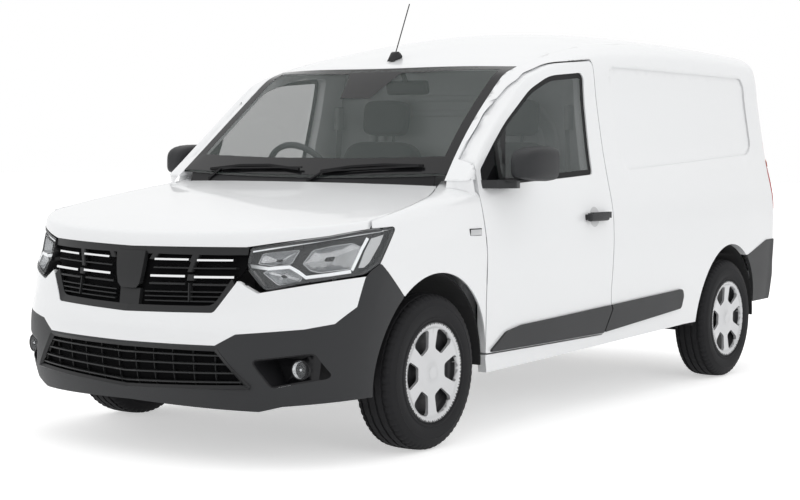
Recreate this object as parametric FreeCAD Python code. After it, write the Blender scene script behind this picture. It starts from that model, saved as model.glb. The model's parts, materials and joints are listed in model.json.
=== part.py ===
"""Panel van with twin rear doors, right-hand drive.

Millimetres. The nose points to -Y, the van's left side to +X and the roof to +Z. The origin is on
the ground, under the middle of the van's length and width.
"""
import FreeCAD, Part
import math
import os

V = FreeCAD.Vector

# Driving dimensions
LENGTH = 4393.0
WIDTH = 1775.0
ROOF_HEIGHT = 1811.0
WHEELBASE = 2812.0
FRONT_OVERHANG = 873.0
TRACK = 1534.0
TYRE_RADIUS = 311.0
TYRE_WIDTH = 185.0
RIM_RADIUS = 202.0

# Places that follow from them
HALF = WIDTH / 2
NOSE = -LENGTH / 2
TAIL = LENGTH / 2
FRONT_AXLE = NOSE + FRONT_OVERHANG
REAR_AXLE = FRONT_AXLE + WHEELBASE
HUB = TRACK / 2

# Body skin: heights against how far the side lies in from its widest line
SIDE_SECTION = ((200, 48), (330, 34), (520, 13), (750, 0), (900, 5), (1010, 16), (1080, 37),
                (1290, 77), (1450, 101), (1620, 129))
SIDE_BOTTOM = 240.0
REAR_TAPER = 48.0
REAR_TAPER_START = REAR_AXLE - 890.0
FRONT_PULL_LOW = 8.0
FRONT_PULL_HIGH = 30.0
FRONT_PULL_END = FRONT_AXLE + 350.0
FRONT_PULL_LENGTH = 670.0
PULL_LOW_Z = 800.0
PULL_HIGH_Z = 1000.0
TAIL_SKIN = TAIL - 31.0
TAIL_ROUNDING = 55.0

# Roof and windscreen line: distance behind the windscreen's foot against drop below the roof's top
SCREEN_FOOT = FRONT_AXLE + 203.0
ROOF_LINE = ((0, 741), (160, 598), (320, 462), (480, 334), (590, 251), (645, 225), (722, 198),
             (1020, 119), (1370, 51), (1720, 18), (2120, 3), (2420, 0), (3120, 15), (3290, 21))
CROWN_LINE = ((0, 8e-5), (720, 1e-4), (1700, 1.65e-4), (3300, 1.65e-4))
RAIL_LINE = ((0, 14), (480, 18), (720, 24), (1000, 30), (1300, 46), (1700, 62), (3400, 62))
RAIL_DEPTH = 150.0
RAIL_REACH = 115.0

# Nose: heights against setback, and against the roundness of the corner in plan
NOSE_LINE = ((200, 62), (300, 18), (430, 0), (520, 6), (600, 30), (690, 40), (815, 57), (900, 84))
NOSE_ROUND = ((430, 2.4), (690, 2.2), (850, 2.0))
CORNER_DEPTH = 566.0
CORNER_START = NOSE + CORNER_DEPTH

# Bonnet: distance behind the nose against height, its lip, and half-width of its shut line
BONNET_LINE = ((70, 868), (250, 916), (500, 962), (750, 1006), (1120, 1066))
BONNET_CROWN = 4.5e-5
LIP_LINE = ((0, 815), (500, 824), (750, 868), (850, 896))
LIP_LEAN = 30.0
SHUT_LINE = ((400, 842), (466, 840), (680, 830), (800, 812), (950, 775), (1120, 694))
BONNET_REAR = NOSE + 1026.0
BONNET_REAR_BOW = 85.0
BONNET_THICK = 16.0
BONNET_HALF = 846.0

# Walls and clearances
SHUT_GAP = 6.5
LEAD_GAP = 7.5
SEAT = 0.3
CLEAR = 0.6
WALL = 45.0
ROOF_THICK = 22.0
GLASS_THICK = 5.0
WING_THICK = 8.0
BUMPER_THICK = 16.0
FIT = 0.05

# Front doors
DOOR_THICK = 50.0
DOOR_FRONT = FRONT_AXLE + 352.0
DOOR_REAR = DOOR_FRONT + 1085.0
DOOR_BOTTOM = 348.0
DOOR_TOP = 1614.0
SCREEN_POST_TOP = (DOOR_FRONT + 500.0, 1524.0)
HINGE_X = HALF - 24.0
HINGE_Y = DOOR_FRONT + 60.0
DOOR_HINGES = (670.0, 815.0)
HINGE_HALF = 20.0
HINGE_PIN = 4.5
HINGE_EYE = 8.0

# Wheel arches and lower edge
ARCH_RADIUS = 388.0
ARCH_RISE = 8.0
SILL_FRONT_Z = 262.0
SILL_REAR_Z = 322.0

# Cab and load floor
WHEELHOUSE = 646.0
ARM_TOP = 350.0
FLOOR_Z = 330.0
LOAD_Z = 560.0
LASHING_X = 500.0
LASHING_Y = (350.0, 1850.0)
LASHING_HOLE = 5.25
PLATE = 20.0
FIREWALL = DOOR_FRONT - 60.0
BULKHEAD = DOOR_REAR + 55.0
BULKHEAD_THICK = 14.0

# Bonnet hinges
BONNET_HINGE_X = 650.0
BONNET_HINGE_Y = BONNET_REAR + 65.5
BONNET_HINGE_Z = 1030.0

# Rear end
REAR_HINGE_X = 668.0
REAR_HINGE_Y = TAIL_SKIN + 14.0
REAR_HINGES = (760.0, 1600.0)
REAR_DOOR_HALF = 652.0
REAR_DOOR_BOTTOM = 566.0
REAR_DOOR_TOP = 1625.0
REAR_DOOR_THICK = 20.0
REAR_DOOR_SPLIT = -170.0
REAR_DOOR_LEAN = 72.0
REAR_DOOR_SINK = 14.5
REAR_FRAME_LOW = 380.0


def smooth(knots, place):
    """Value of a smooth curve through knots at a place, straight beyond its ends."""
    last = len(knots) - 1
    slopes = []
    for i in range(last + 1):
        a = knots[max(i - 1, 0)]
        b = knots[min(i + 1, last)]
        slopes.append((b[1] - a[1]) / (b[0] - a[0]))
    if place <= knots[0][0]:
        return knots[0][1] + slopes[0] * (place - knots[0][0])
    if place >= knots[last][0]:
        return knots[last][1] + slopes[last] * (place - knots[last][0])
    i = max(k for k in range(last) if knots[k][0] <= place)
    step = knots[i + 1][0] - knots[i][0]
    t = (place - knots[i][0]) / step
    a = (2 * t ** 3 - 3 * t ** 2 + 1) * knots[i][1] + (t ** 3 - 2 * t ** 2 + t) * step * slopes[i]
    b = (3 * t ** 2 - 2 * t ** 3) * knots[i + 1][1] + (t ** 3 - t ** 2) * step * slopes[i + 1]
    return a + b


def ramp(value, low, high):
    """Soft step from 0 at low to 1 at high."""
    t = min(max((value - low) / (high - low), 0.0), 1.0)
    return t * t * (3 - 2 * t)


def spread(start, end, count):
    """Evenly spaced values, both ends included."""
    return [start + (end - start) * i / (count - 1) for i in range(count)]


def tail_round(y):
    """How far the skin turns in towards the tail."""
    t = min(max((y - (TAIL_SKIN - TAIL_ROUNDING)) / TAIL_ROUNDING, 0.0), 1.0)
    return TAIL_ROUNDING * (1 - math.sqrt(1 - 0.94 * t * t))


def side_x(y, z):
    """Half-width of the body skin, without the nose's rounded corners."""
    x = HALF - smooth(SIDE_SECTION, z)
    pull = FRONT_PULL_LOW + (FRONT_PULL_HIGH - FRONT_PULL_LOW) * ramp(z, PULL_LOW_Z, PULL_HIGH_Z)
    x -= pull * ramp(FRONT_PULL_END + FRONT_PULL_LENGTH - y, 0, FRONT_PULL_LENGTH)
    if y > REAR_TAPER_START:
        x -= REAR_TAPER * ((y - REAR_TAPER_START) / (TAIL_SKIN - REAR_TAPER_START)) ** 2
    return x - tail_round(y)


def roof_z(y):
    """Height of the roof and windscreen skin on the centre line."""
    return ROOF_HEIGHT - smooth(ROOF_LINE, y - SCREEN_FOOT) - tail_round(y)


def crown(y):
    return smooth(CROWN_LINE, y - SCREEN_FOOT)


def rail_x(y):
    """Half-width of the roof and windscreen, where the rail's rounding begins."""
    return side_x(y, roof_z(y) - RAIL_DEPTH) - RAIL_REACH


def top_point(x, y, drop=0.0):
    return V(x, y, roof_z(y) - crown(y) * x * x - drop)


def conic(a, b, c, t, weight=0.72):
    """Point on a rounding from a to c that leans towards b."""
    wa, wb, wc = (1 - t) ** 2, 2 * t * (1 - t) * weight, t * t
    return (a * wa + b * wb + c * wc) * (1 / (wa + wb + wc))


def flank_section(y):
    """Left side at one station, from the bottom edge up over the roof rail."""
    end = top_point(rail_x(y), y)
    slope = 2 * crown(y) * end.x
    turn = end.z - slope * RAIL_REACH - smooth(RAIL_LINE, y - SCREEN_FOOT)
    side = [V(side_x(y, z), y, z) for z in spread(SIDE_BOTTOM, turn, 11)]
    foot = side[-1]
    lean = (side_x(y, turn - 10) - foot.x) / 10
    corner_x = foot.x - lean * (end.z + slope * end.x - foot.z - slope * foot.x)
    corner = V(corner_x, y, end.z - slope * (corner_x - end.x))
    return side + [conic(foot, corner, end, t) for t in (0.2, 0.4, 0.6, 0.8, 1.0)]


def chords(lines):
    """Mean running length along lines of as many points, to space a spline's parameters."""
    marks = [0.0]
    for i in range(1, len(lines[0])):
        step = sum((line[i] - line[i - 1]).Length for line in lines) / len(lines)
        marks.append(marks[-1] + step)
    return marks


def spline(points, marks):
    curve = Part.BSplineCurve()
    curve.interpolate(Points=points, Parameters=marks)
    return curve


def skin(rows):
    """Smooth face through rows of points, spaced by their distances both ways."""
    across = chords(rows)
    along = chords(list(zip(*rows)))
    rails = [spline(row, across) for row in rows]
    columns = [spline(list(line), along) for line in zip(*[rail.getPoles() for rail in rails])]
    poles = [list(line) for line in zip(*[column.getPoles() for column in columns])]
    u, v = columns[0], rails[0]
    surface = Part.BSplineSurface()
    surface.buildFromPolesMultsKnots(poles, u.getMultiplicities(), v.getMultiplicities(),
                                     u.getKnots(), v.getKnots(), False, False, u.Degree, v.Degree)
    return surface.toShape()


def stations(start, end):
    """Stations along the body, closer together where the skin turns."""
    marks = [SCREEN_FOOT, SCREEN_FOOT + 170, SCREEN_FOOT + 330, SCREEN_FOOT + 480, SCREEN_FOOT + 560,
             SCREEN_FOOT + 610, SCREEN_FOOT + 660, SCREEN_FOOT + 760, SCREEN_FOOT + 950,
             SCREEN_FOOT + 1250, SCREEN_FOOT + 1650, SCREEN_FOOT + 2100, SCREEN_FOOT + 2550,
             SCREEN_FOOT + 2950, TAIL_SKIN - 90, TAIL_SKIN - 55, TAIL_SKIN - 35, TAIL_SKIN - 18,
             TAIL_SKIN - 7, TAIL_SKIN]
    inside = [m for m in marks if start + 12 < m < end - 12]
    return [start] + inside + [end]


def flank_face():
    return skin([flank_section(y) for y in stations(SCREEN_FOOT, TAIL_SKIN)])


def top_face(start, end, margin):
    """Roof or windscreen skin between the two rails."""
    rows = []
    for y in stations(start, end):
        reach = rail_x(y) - margin
        rows.append([top_point(x, y) for x in spread(-reach, reach, 9)])
    return skin(rows)


def mirrored(shape):
    return shape.mirror(V(0, 0, 0), V(1, 0, 0))


def both(shape):
    return Part.makeCompound([shape, mirrored(shape)])


def rounded(points, radius):
    """Closed wire through points with its corners turned by arcs."""
    radii = radius if isinstance(radius, (list, tuple)) else [radius] * len(points)
    ends = []
    edges = []
    for i, p in enumerate(points):
        to_a = points[i - 1] - p
        to_b = points[(i + 1) % len(points)] - p
        room = 0.47 * min(to_a.Length, to_b.Length)
        u = V(to_a).normalize()
        v = V(to_b).normalize()
        half = math.acos(max(-1.0, min(1.0, u.dot(v)))) / 2
        reach = min(radii[i] / math.tan(half), room) if radii[i] > 0 and half < 1.56 else 0.0
        if reach < 0.01:
            ends.append((p, p))
            continue
        r = reach * math.tan(half)
        middle = (u + v).normalize()
        bend = p + middle * (r / math.sin(half) - r)
        edges.append((i, Part.Arc(p + u * reach, bend, p + v * reach).toShape()))
        ends.append((p + u * reach, p + v * reach))
    arcs = dict(edges)
    loop = []
    for i in range(len(points)):
        if i in arcs:
            loop.append(arcs[i])
        a = ends[i][1]
        b = ends[(i + 1) % len(points)][0]
        if (b - a).Length > 0.01:
            loop.append(Part.LineSegment(a, b).toShape())
    return Part.Wire(loop)


def block(wire, direction):
    return Part.Face(wire).extrude(direction)


def side_block(points, near, far, radius=0, grow=0):
    """Prism across the van with an outline of (y, z) points, from x near to x far."""
    wire = rounded([V(near, y, z) for y, z in points], radius)
    return block(wire.makeOffset2D(grow) if grow else wire, V(far - near, 0, 0))


def front_block(points, near, far, radius=0, grow=0):
    """Prism along the van with an outline of (x, z) points, from y near to y far."""
    wire = rounded([V(x, near, z) for x, z in points], radius)
    return block(wire.makeOffset2D(grow) if grow else wire, V(0, far - near, 0))


def plan_block(points, low, high, radius=0):
    """Upright prism with an outline of (x, y) points."""
    return block(rounded([V(x, y, low) for x, y in points], radius), V(0, 0, high - low))


def box(x0, x1, y0, y1, z0, z1):
    return Part.makeBox(x1 - x0, y1 - y0, z1 - z0, V(x0, y0, z0))


def disc(x0, x1, y, z, radius):
    """Cylinder along X."""
    return Part.makeCylinder(radius, x1 - x0, V(x0, y, z), V(1, 0, 0))


def post(x, y, z0, z1, radius):
    return Part.makeCylinder(radius, z1 - z0, V(x, y, z0), V(0, 0, 1))


BALL_GROWTH = 1.06


def tube(points, radius):
    """Round bar through points, straight between them with slightly larger balls at the bends."""
    bar = None
    for a, b in zip(points, points[1:]):
        run = Part.makeCylinder(radius, (b - a).Length, a, b - a)
        bar = run if bar is None else bar.fuse(run)
    for p in points[1:-1]:
        bar = bar.fuse(Part.makeSphere(radius * BALL_GROWTH, p))
    return bar.removeSplitter()


def strip(a, b, width, height):
    """Flat bar from a to b."""
    bar = Part.makeBox((b - a).Length, width, height, V(0, -width / 2, -height / 2))
    bar.Placement = FreeCAD.Placement(a, FreeCAD.Rotation(V(1, 0, 0), b - a))
    return bar


def floor_edge(y, z):
    """Half-width between the walls at a height, less a small clearance."""
    return side_x(y, z + WALL) - WALL - CLEAR


def door_outline(grow):
    """Corners and radii of the front door's outline, grown all round for its opening."""
    g = grow
    points = [(DOOR_FRONT + 42 - g, DOOR_BOTTOM - g), (DOOR_FRONT + 13 - g, 560), (DOOR_FRONT - g, 800),
            (DOOR_FRONT - g, 1150 + g), (DOOR_FRONT + 237 - g, 1346 + g),
            (DOOR_FRONT + 405 - g, 1472 + g), (SCREEN_POST_TOP[0] - g, SCREEN_POST_TOP[1] + g),
            (DOOR_FRONT + 720, 1585 + g),
            (DOOR_REAR + g, DOOR_TOP + g), (DOOR_REAR - 5 + g, 1047), (DOOR_REAR + 6 + g, 790),
            (DOOR_REAR + 4 + g, 545), (DOOR_REAR + 20 + g, 462), (DOOR_REAR - 43 + g, DOOR_BOTTOM - g)]
    return points, [12, 400, 400, 30, 900, 500, 360, 900, 26, 60, 500, 20, 20, 14]


def window_outline(shrink):
    s = shrink
    points = [(DOOR_FRONT + 34 + s, 1040 + s), (DOOR_REAR - 140 - s, 1086 + s),
            (DOOR_REAR - 102 - s, 1556 - s), (DOOR_FRONT + 662, 1528 - s),
            (DOOR_FRONT + 488 + s, 1462 - s), (DOOR_FRONT + 268 + s, 1312 - s),
            (DOOR_FRONT + 34 + s, 1112 - s)]
    return points, [12, 22, 34, 500, 400, 800, 20]


RECESS = ((DOOR_REAR + 158, 1594), (REAR_AXLE + 385, 1602), (REAR_AXLE + 430, 1560),
          (REAR_AXLE + 425, 1225), (REAR_AXLE + 345, 1184), (DOOR_REAR + 218, 1106),
          (DOOR_REAR + 168, 1150))
RECESS_DEPTH = 9.0
SAIL_REAR = DOOR_FRONT + 180.0


WING_SEAM = ((SCREEN_FOOT - 90, 1056), (DOOR_FRONT - 6, 1072))
BUMPER_SEAM = ((REAR_AXLE + 150, 640), (REAR_AXLE + 252, 640), (REAR_AXLE + 527, 711))


def arch_tool(axle, x0, x1):
    return disc(x0, x1, axle, TYRE_RADIUS + ARCH_RISE, ARCH_RADIUS)


PILLAR_LAND = 20.0


def under_roof(outward):
    """Upright prism over everything between the rails, moved outward by a distance."""
    rail = [V(rail_x(y) + outward, y, 900) for y in stations(SCREEN_FOOT, TAIL_SKIN)]
    inner = Part.BSplineCurve()
    inner.interpolate(rail)
    first, last = rail[0], rail[-1]
    corners = [last, V(last.x, last.y + 60, 900), V(300, last.y + 60, 900), V(300, first.y - 60, 900),
               V(first.x, first.y - 60, 900), first]
    edges = [Part.LineSegment(a, b).toShape() for a, b in zip(corners, corners[1:])]
    return Part.Face(Part.Wire([inner.toShape()] + edges)).extrude(V(0, 0, 1100))


def body_side(face):
    """Left body side: rail, pillars, load panel and sill, with the door opening."""
    full = face.extrude(V(-WALL, 0, -WALL))
    wall = full.cut(under_roof(0))
    points, radii = door_outline(SHUT_GAP)
    wall = wall.cut(side_block(points, HALF + 60, 400, radii).cut(under_roof(PILLAR_LAND)))
    wing_zone = [(SCREEN_FOOT - 90, 100), (DOOR_FRONT + 120, 100), (DOOR_FRONT + 44, DOOR_BOTTOM - 20),
                 WING_SEAM[1], WING_SEAM[0]]
    wall = wall.cut(side_block(wing_zone, HALF + 60, 400))
    under = [(SCREEN_FOOT - 90, 100), (SCREEN_FOOT - 90, SILL_FRONT_Z), (FRONT_AXLE + 270, SILL_FRONT_Z),
             (REAR_AXLE - 520, SILL_REAR_Z), (REAR_AXLE, SILL_REAR_Z)] + list(BUMPER_SEAM)
    under += [(TAIL + 60, BUMPER_SEAM[-1][1] + 5), (TAIL + 60, 100)]
    wall = wall.cut(side_block(under, HALF + 60, 400))
    wall = wall.cut(arch_tool(REAR_AXLE, 400, HALF + 60))
    recess = face.translated(V(-RECESS_DEPTH, 0, 0)).extrude(V(40, 0, 0))
    recess = recess.common(side_block(RECESS, HALF + 60, 600, [55, 50, 60, 60, 70, 70, 60]))
    wall = wall.cut(recess)
    wall = wall.cut(lamp_zone(0.2).common(box(0, HALF + 50, TAIL_SKIN - 60, TAIL, 0, 2000)))
    return wall.fuse(rear_hinge_leaves()).removeSplitter()


def rear_hinge_leaves():
    """Body halves of the left rear door's hinges, over the body's end face."""
    leaves = []
    low, high = REAR_HINGES
    for z, reach in ((low, 775), (high, REAR_HINGE_X + 2)):
        barrel = post(REAR_HINGE_X, REAR_HINGE_Y, z - 30, z, 8)
        leaf = box(REAR_HINGE_X - 8, reach, TAIL_SKIN - 0.5, TAIL_SKIN + 5, z - 30, z)
        web = box(REAR_HINGE_X - 6, REAR_HINGE_X + 6, TAIL_SKIN - 0.5, REAR_HINGE_Y, z - 30, z)
        leaf = leaf.fuse([barrel, web])
        leaves.append(leaf.cut(post(REAR_HINGE_X, REAR_HINGE_Y, z - 40, z + 10, 4 + FIT)))
    return leaves


def door_shell(face):
    """Left front door with its window opening, and pockets and pins for the hinges."""
    points, radii = door_outline(0)
    shell = face.extrude(V(-DOOR_THICK, 0, -DOOR_THICK))
    shell = shell.common(side_block(points, HALF + 60, 400, radii)).cut(under_roof(PILLAR_LAND + SHUT_GAP))
    points, radii = window_outline(0)
    shell = shell.cut(side_block(points, HALF + 60, 400, radii))
    for z in DOOR_HINGES:
        shell = shell.cut(box(740, HINGE_X + 9, DOOR_FRONT - 5, HINGE_Y + 9.5, z - HINGE_HALF,
                              z + HINGE_HALF))
    pins = [post(HINGE_X, HINGE_Y, z - HINGE_HALF - 6, z + HINGE_HALF + 6, HINGE_PIN) for z in DOOR_HINGES]
    return shell.fuse(pins).removeSplitter()


def door_glass(face):
    points, radii = window_outline(SEAT)
    pane = face.translated(V(-7, 0, -3)).extrude(V(-GLASS_THICK, 0, -2))
    pane = pane.common(side_block(points, HALF + 60, 400, radii))
    return pane.cut(box(400, HALF + 60, DOOR_FRONT - 60, SAIL_REAR + SEAT, 900, 1700))


def nose_point(angle, z):
    """Point on the skin round the nose: 0 at the centre, 90 degrees where the side begins."""
    a = side_x(CORNER_START, z)
    depth = CORNER_START - (NOSE + smooth(NOSE_LINE, z))
    power = 2 / smooth(NOSE_ROUND, min(max(z, NOSE_ROUND[0][0]), NOSE_ROUND[2][0]))
    t = math.radians(angle)
    return V(a * math.sin(t) ** power, CORNER_START - depth * max(math.cos(t), 0) ** power, z)


def nose_y(x, z):
    """Station of the nose skin at half-width x and height z."""
    a = side_x(CORNER_START, z)
    depth = CORNER_START - (NOSE + smooth(NOSE_LINE, z))
    n = smooth(NOSE_ROUND, min(max(z, NOSE_ROUND[0][0]), NOSE_ROUND[2][0]))
    return CORNER_START - depth * max(1 - min(abs(x) / a, 1) ** n, 0) ** (1 / n)


def nose_face():
    """Left half of the skin round the nose and along the wing to the arch."""
    rows = []
    for z in (205, 250, 310, 370, 430, 480, 530, 580, 640, 710, 780, 840, 905):
        row = [nose_point(angle, z) for angle in (0, 9, 18, 27, 36, 45, 54, 63, 72, 81, 90)]
        row += [V(side_x(y, z), y, z) for y in (CORNER_START + 80, CORNER_START + 180)]
        rows.append(row)
    return skin(rows)


def nose_slab(face, depth, sink=0.0):
    """Wall behind the nose skin, left half only."""
    wall = face.translated(V(-sink, sink, 0)).extrude(V(-depth, depth, 0))
    return wall.common(box(0, HALF + 60, NOSE - 50, DOOR_FRONT, 100, 1000))


def whole(shape):
    """Left half joined to its mirror image across the centre plane."""
    return shape.fuse(mirrored(shape)).removeSplitter()


# Front view outlines, left half, as (x, z)
GRILLE = ((-20, 815 - SHUT_GAP), (500, 824 - SHUT_GAP), (516, 760), (480, 690), (405, 579), (-20, 566))
GRILLE_RADII = (0, 14, 30, 80, 22, 0)
INTAKE = ((-20, 447), (438, 452), (556, 306), (-20, 276))
INTAKE_RADII = (0, 14, 14, 0)
WHITE_LOW = ((-20, 456), (430, 461), (505, 505), (722, 527), (796, 545), (838, 605), (851, 712), (870, 770))
LAMP = ((517, 823), (752, 868), (858, 897), (868, 762), (848, 722), (702, 693), (588, 664), (512, 750))


def lip_height(x):
    return smooth(LIP_LINE, abs(x))


def lamp_block(grow):
    """Prism towards the nose's corner with the headlamp's outline."""
    across = V(1, -1, 0).normalize()
    spots = [(517, nose_y(517, 823), 823), (752, nose_y(752, 868), 868), (840, nose_y(840, 893), 893),
             (862, CORNER_START + 26, 898), (876, CORNER_START - 92, 762), (850, nose_y(848, 724), 724),
             (702, nose_y(702, 693), 693), (588, nose_y(588, 664), 664), (512, nose_y(512, 750), 750)]
    flat = [V(x, y, z) + across * (1500 - V(x, y, z).dot(across)) for x, y, z in spots]
    wire = rounded(flat, [16, 600, 0, 10, 14, 30, 200, 26, 60])
    return block(wire.makeOffset2D(grow), across * -900).translated(across * 700)


def front_bumper(face):
    """Painted band between the grille, the lamps and the dark lower bumper."""
    slab = nose_slab(face, BUMPER_THICK)
    band = [(-20, 830), (560, 830), (760, 880), (885, 905), (885, 770)] + list(reversed(WHITE_LOW))
    slab = slab.common(front_block(band, NOSE - 60, CORNER_START - 40, 0))
    slab = slab.cut(front_block(GRILLE, NOSE - 60, CORNER_START, GRILLE_RADII))
    slab = slab.cut(lamp_block(2))
    above = [(-20, 700), (-20, 950), (930, 950), (930, 740), (870, 720), (560, 655), (480, 700)]
    slab = slab.cut(front_block(above, NOSE - 60, CORNER_START + 300))
    solid = max(slab.Solids, key=lambda piece: piece.Volume)
    return whole(solid)


def lower_bumper(face):
    """Dark bumper with its side wings up to the lamps, the intake and the lamp pockets."""
    slab = nose_slab(face, BUMPER_THICK)
    upper = [(-60, WHITE_LOW[0][1])] + list(WHITE_LOW[1:]) + [(905, 770), (905, 100), (-60, 100)]
    slab = slab.common(front_block(upper, NOSE - 60, FRONT_AXLE).translated(V(0, 0, -0.4)))
    side = [(NOSE - 60, 100), (FRONT_AXLE, 100), (FRONT_AXLE - 330,
            300)] + list(NOSE_SEAM) + [(NOSE - 60, 900)]
    slab = slab.common(side_block(side, HALF + 60, -60))
    slab = slab.cut(arch_tool(FRONT_AXLE, 300, HALF + 60))
    foot = [(-60, 100), (-60, 226), (560, 214), (640, 236), (900, 262), (900, 100)]
    slab = slab.cut(front_block(foot, NOSE - 60, FRONT_AXLE))
    slab = slab.cut(front_block(INTAKE, NOSE - 60, CORNER_START, INTAKE_RADII))
    slab = slab.cut(front_block(FOG_POCKET, NOSE - 60, CORNER_START, FOG_RADII))
    slab = slab.cut(lamp_block(2))
    return whole(max(slab.Solids, key=lambda piece: piece.Volume))


NOSE_SEAM = ((FRONT_AXLE - 240, 633), (FRONT_AXLE - 383, 759))
FOG_POCKET = ((556, 412), (752, 440), (790, 344), (620, 306))
FOG_RADII = (16, 18, 18, 16)
FOG_X = 708.0
FOG_Z = 376.0
FOG_RADIUS = 38.0


def fog_lamp(face):
    """Moulded pocket in the dark bumper with a round lamp."""
    mouth = nose_slab(face, 120, 1)
    cup = mouth.common(front_block(FOG_POCKET, NOSE, nose_y(FOG_X, FOG_Z) + 60, FOG_RADII, -SEAT))
    back = nose_y(FOG_X, FOG_Z) + 40
    cup = cup.cut(front_block(FOG_POCKET, NOSE, back, FOG_RADII, -6))
    lamp = Part.makeCylinder(FOG_RADIUS, back - 8 - nose_y(FOG_X, FOG_Z),
            V(FOG_X - 8, nose_y(FOG_X, FOG_Z) + 12, FOG_Z), V(0, 1, 0))
    return cup.fuse(lamp).removeSplitter()


def slats(outline, slab, rows, ribs, bar, rib):
    """Grille: an outline filled with level bars and upright ribs."""
    low = min(z for x, z in outline)
    high = max(z for x, z in outline)
    wide = max(x for x, z in outline)
    pitch = (high - low - bar) / rows
    holes = []
    for r in range(rows):
        z = low + bar + r * pitch
        cell = wide / ribs
        for k in range(ribs):
            x = k * cell + rib / 2
            holes.append(box(x, x + cell - rib, NOSE - 60, CORNER_START, z, z + pitch - bar))
    inset = [(x - 9 if x > 0 else x, z + (9 if z < (low + high) / 2 else -9)) for x, z in outline]
    window = front_block(inset, NOSE - 60, CORNER_START)
    net = Part.makeCompound(holes).common(window)
    return slab.cut(net)


def grille(face):
    opening = front_block(GRILLE, NOSE - 60, CORNER_START, GRILLE_RADII, -SEAT)
    slab = nose_slab(face, 18, 9).common(opening)
    slab = slab.cut(lamp_block(0.1))
    return whole(slats(GRILLE, slab, 9, 5, 9, 8))


def lower_grille(face):
    slab = nose_slab(face, 18, 12).common(front_block(INTAKE, NOSE - 60, CORNER_START, INTAKE_RADII, -SEAT))
    return whole(slats(INTAKE, slab, 5, 6, 9, 6))


def headlamp(face):
    slab = nose_slab(face, 70).common(lamp_block(-SEAT))
    lid = [(-20, 950), (-20, 815 - SHUT_GAP)] + [(x, lip_height(x) - SHUT_GAP) for x in (0, 500, 750, 852)]
    return slab.cut(front_block(lid + [(930, 905), (930, 950)], NOSE - 60, CORNER_START - 55))


def bonnet_z(x, y):
    return smooth(BONNET_LINE, y - NOSE) - BONNET_CROWN * x * x


def bonnet_rear(x):
    return BONNET_REAR + BONNET_REAR_BOW * (x / 690) ** 2


def bonnet_face():
    """Bonnet skin, from its lip over the nose back to the windscreen."""
    rows = []
    for x in spread(-BONNET_HALF + 10, BONNET_HALF - 10, 17):
        low = lip_height(x)
        front = nose_y(x, low)
        crest = front + LIP_LEAN
        top = bonnet_z(x, crest)
        row = [V(x, front, low), V(x, front + LIP_LEAN * 0.12, low + (top - low) * 0.45),
               V(x, front + LIP_LEAN * 0.48, low + (top - low) * 0.85),
               V(x, crest + 14, bonnet_z(x, crest + 14)), V(x, crest + 70, bonnet_z(x, crest + 70))]
        row += [V(x, y, bonnet_z(x, y)) for y in spread(crest + 170, bonnet_rear(x) + 5, 6)]
        rows.append(row)
    return skin(rows)


def shut_x(y):
    return smooth(SHUT_LINE, y - NOSE)


def bonnet():
    """Bonnet shell with a lip over the nose and pins for its hinges."""
    shell = bonnet_face().extrude(V(0, BONNET_THICK, -BONNET_THICK))
    marks = spread(NOSE + 440, NOSE + 1110, 8)
    left = [(shut_x(y), y) for y in marks]
    rear = [(x, bonnet_rear(x)) for x in (620, 420, 210, 0, -210, -420, -620)]
    right = [(-x, y) for x, y in reversed(left)]
    corner = shut_x(NOSE + 440)
    plan = [(corner, NOSE - 60)] + left + rear + right + [(-corner, NOSE - 60)]
    shell = shell.common(plan_block(plan, 500, 1300))
    upper = [(x, lip_height(x)) for x in (-860, -750, -500, 0, 500, 750, 860)]
    shell = shell.common(front_block(upper + [(860, 1300), (-860, 1300)], NOSE - 60, FRONT_AXLE + 700))
    y, z = BONNET_HINGE_Y, BONNET_HINGE_Z
    for x in (-BONNET_HINGE_X, BONNET_HINGE_X):
        shell = shell.cut(box(x - 10, x + 10, y - 8.5, y + 60, z - 40, z + 8.5))
        shell = shell.fuse(disc(x - 16, x + 16, y, z, HINGE_PIN))
    return shell.removeSplitter()


def wing_section(y):
    """Left wing at one station, from the bottom edge up over the shoulder to the bonnet's gap."""
    end_x = shut_x(y) + SHUT_GAP
    z_top = bonnet_z(end_x, y)
    if y < CORNER_START:
        def half(z):
            depth = CORNER_START - (NOSE + smooth(NOSE_LINE, z))
            n = smooth(NOSE_ROUND, min(max(z, NOSE_ROUND[0][0]), NOSE_ROUND[2][0]))
            return side_x(CORNER_START, z) * (1 - ((CORNER_START - y) / depth) ** n) ** (1 / n)
    else:
        def half(z):
            return side_x(y, z)
    turn = z_top - 78
    side = [V(half(z), y, z) for z in spread(SIDE_BOTTOM, turn, 9)]
    foot = side[-1]
    end = V(end_x, y, z_top)
    corner = V(foot.x - 6, y, z_top - 2)
    return side + [conic(foot, corner, end, t) for t in (0.2, 0.4, 0.6, 0.8, 1.0)]


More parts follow.
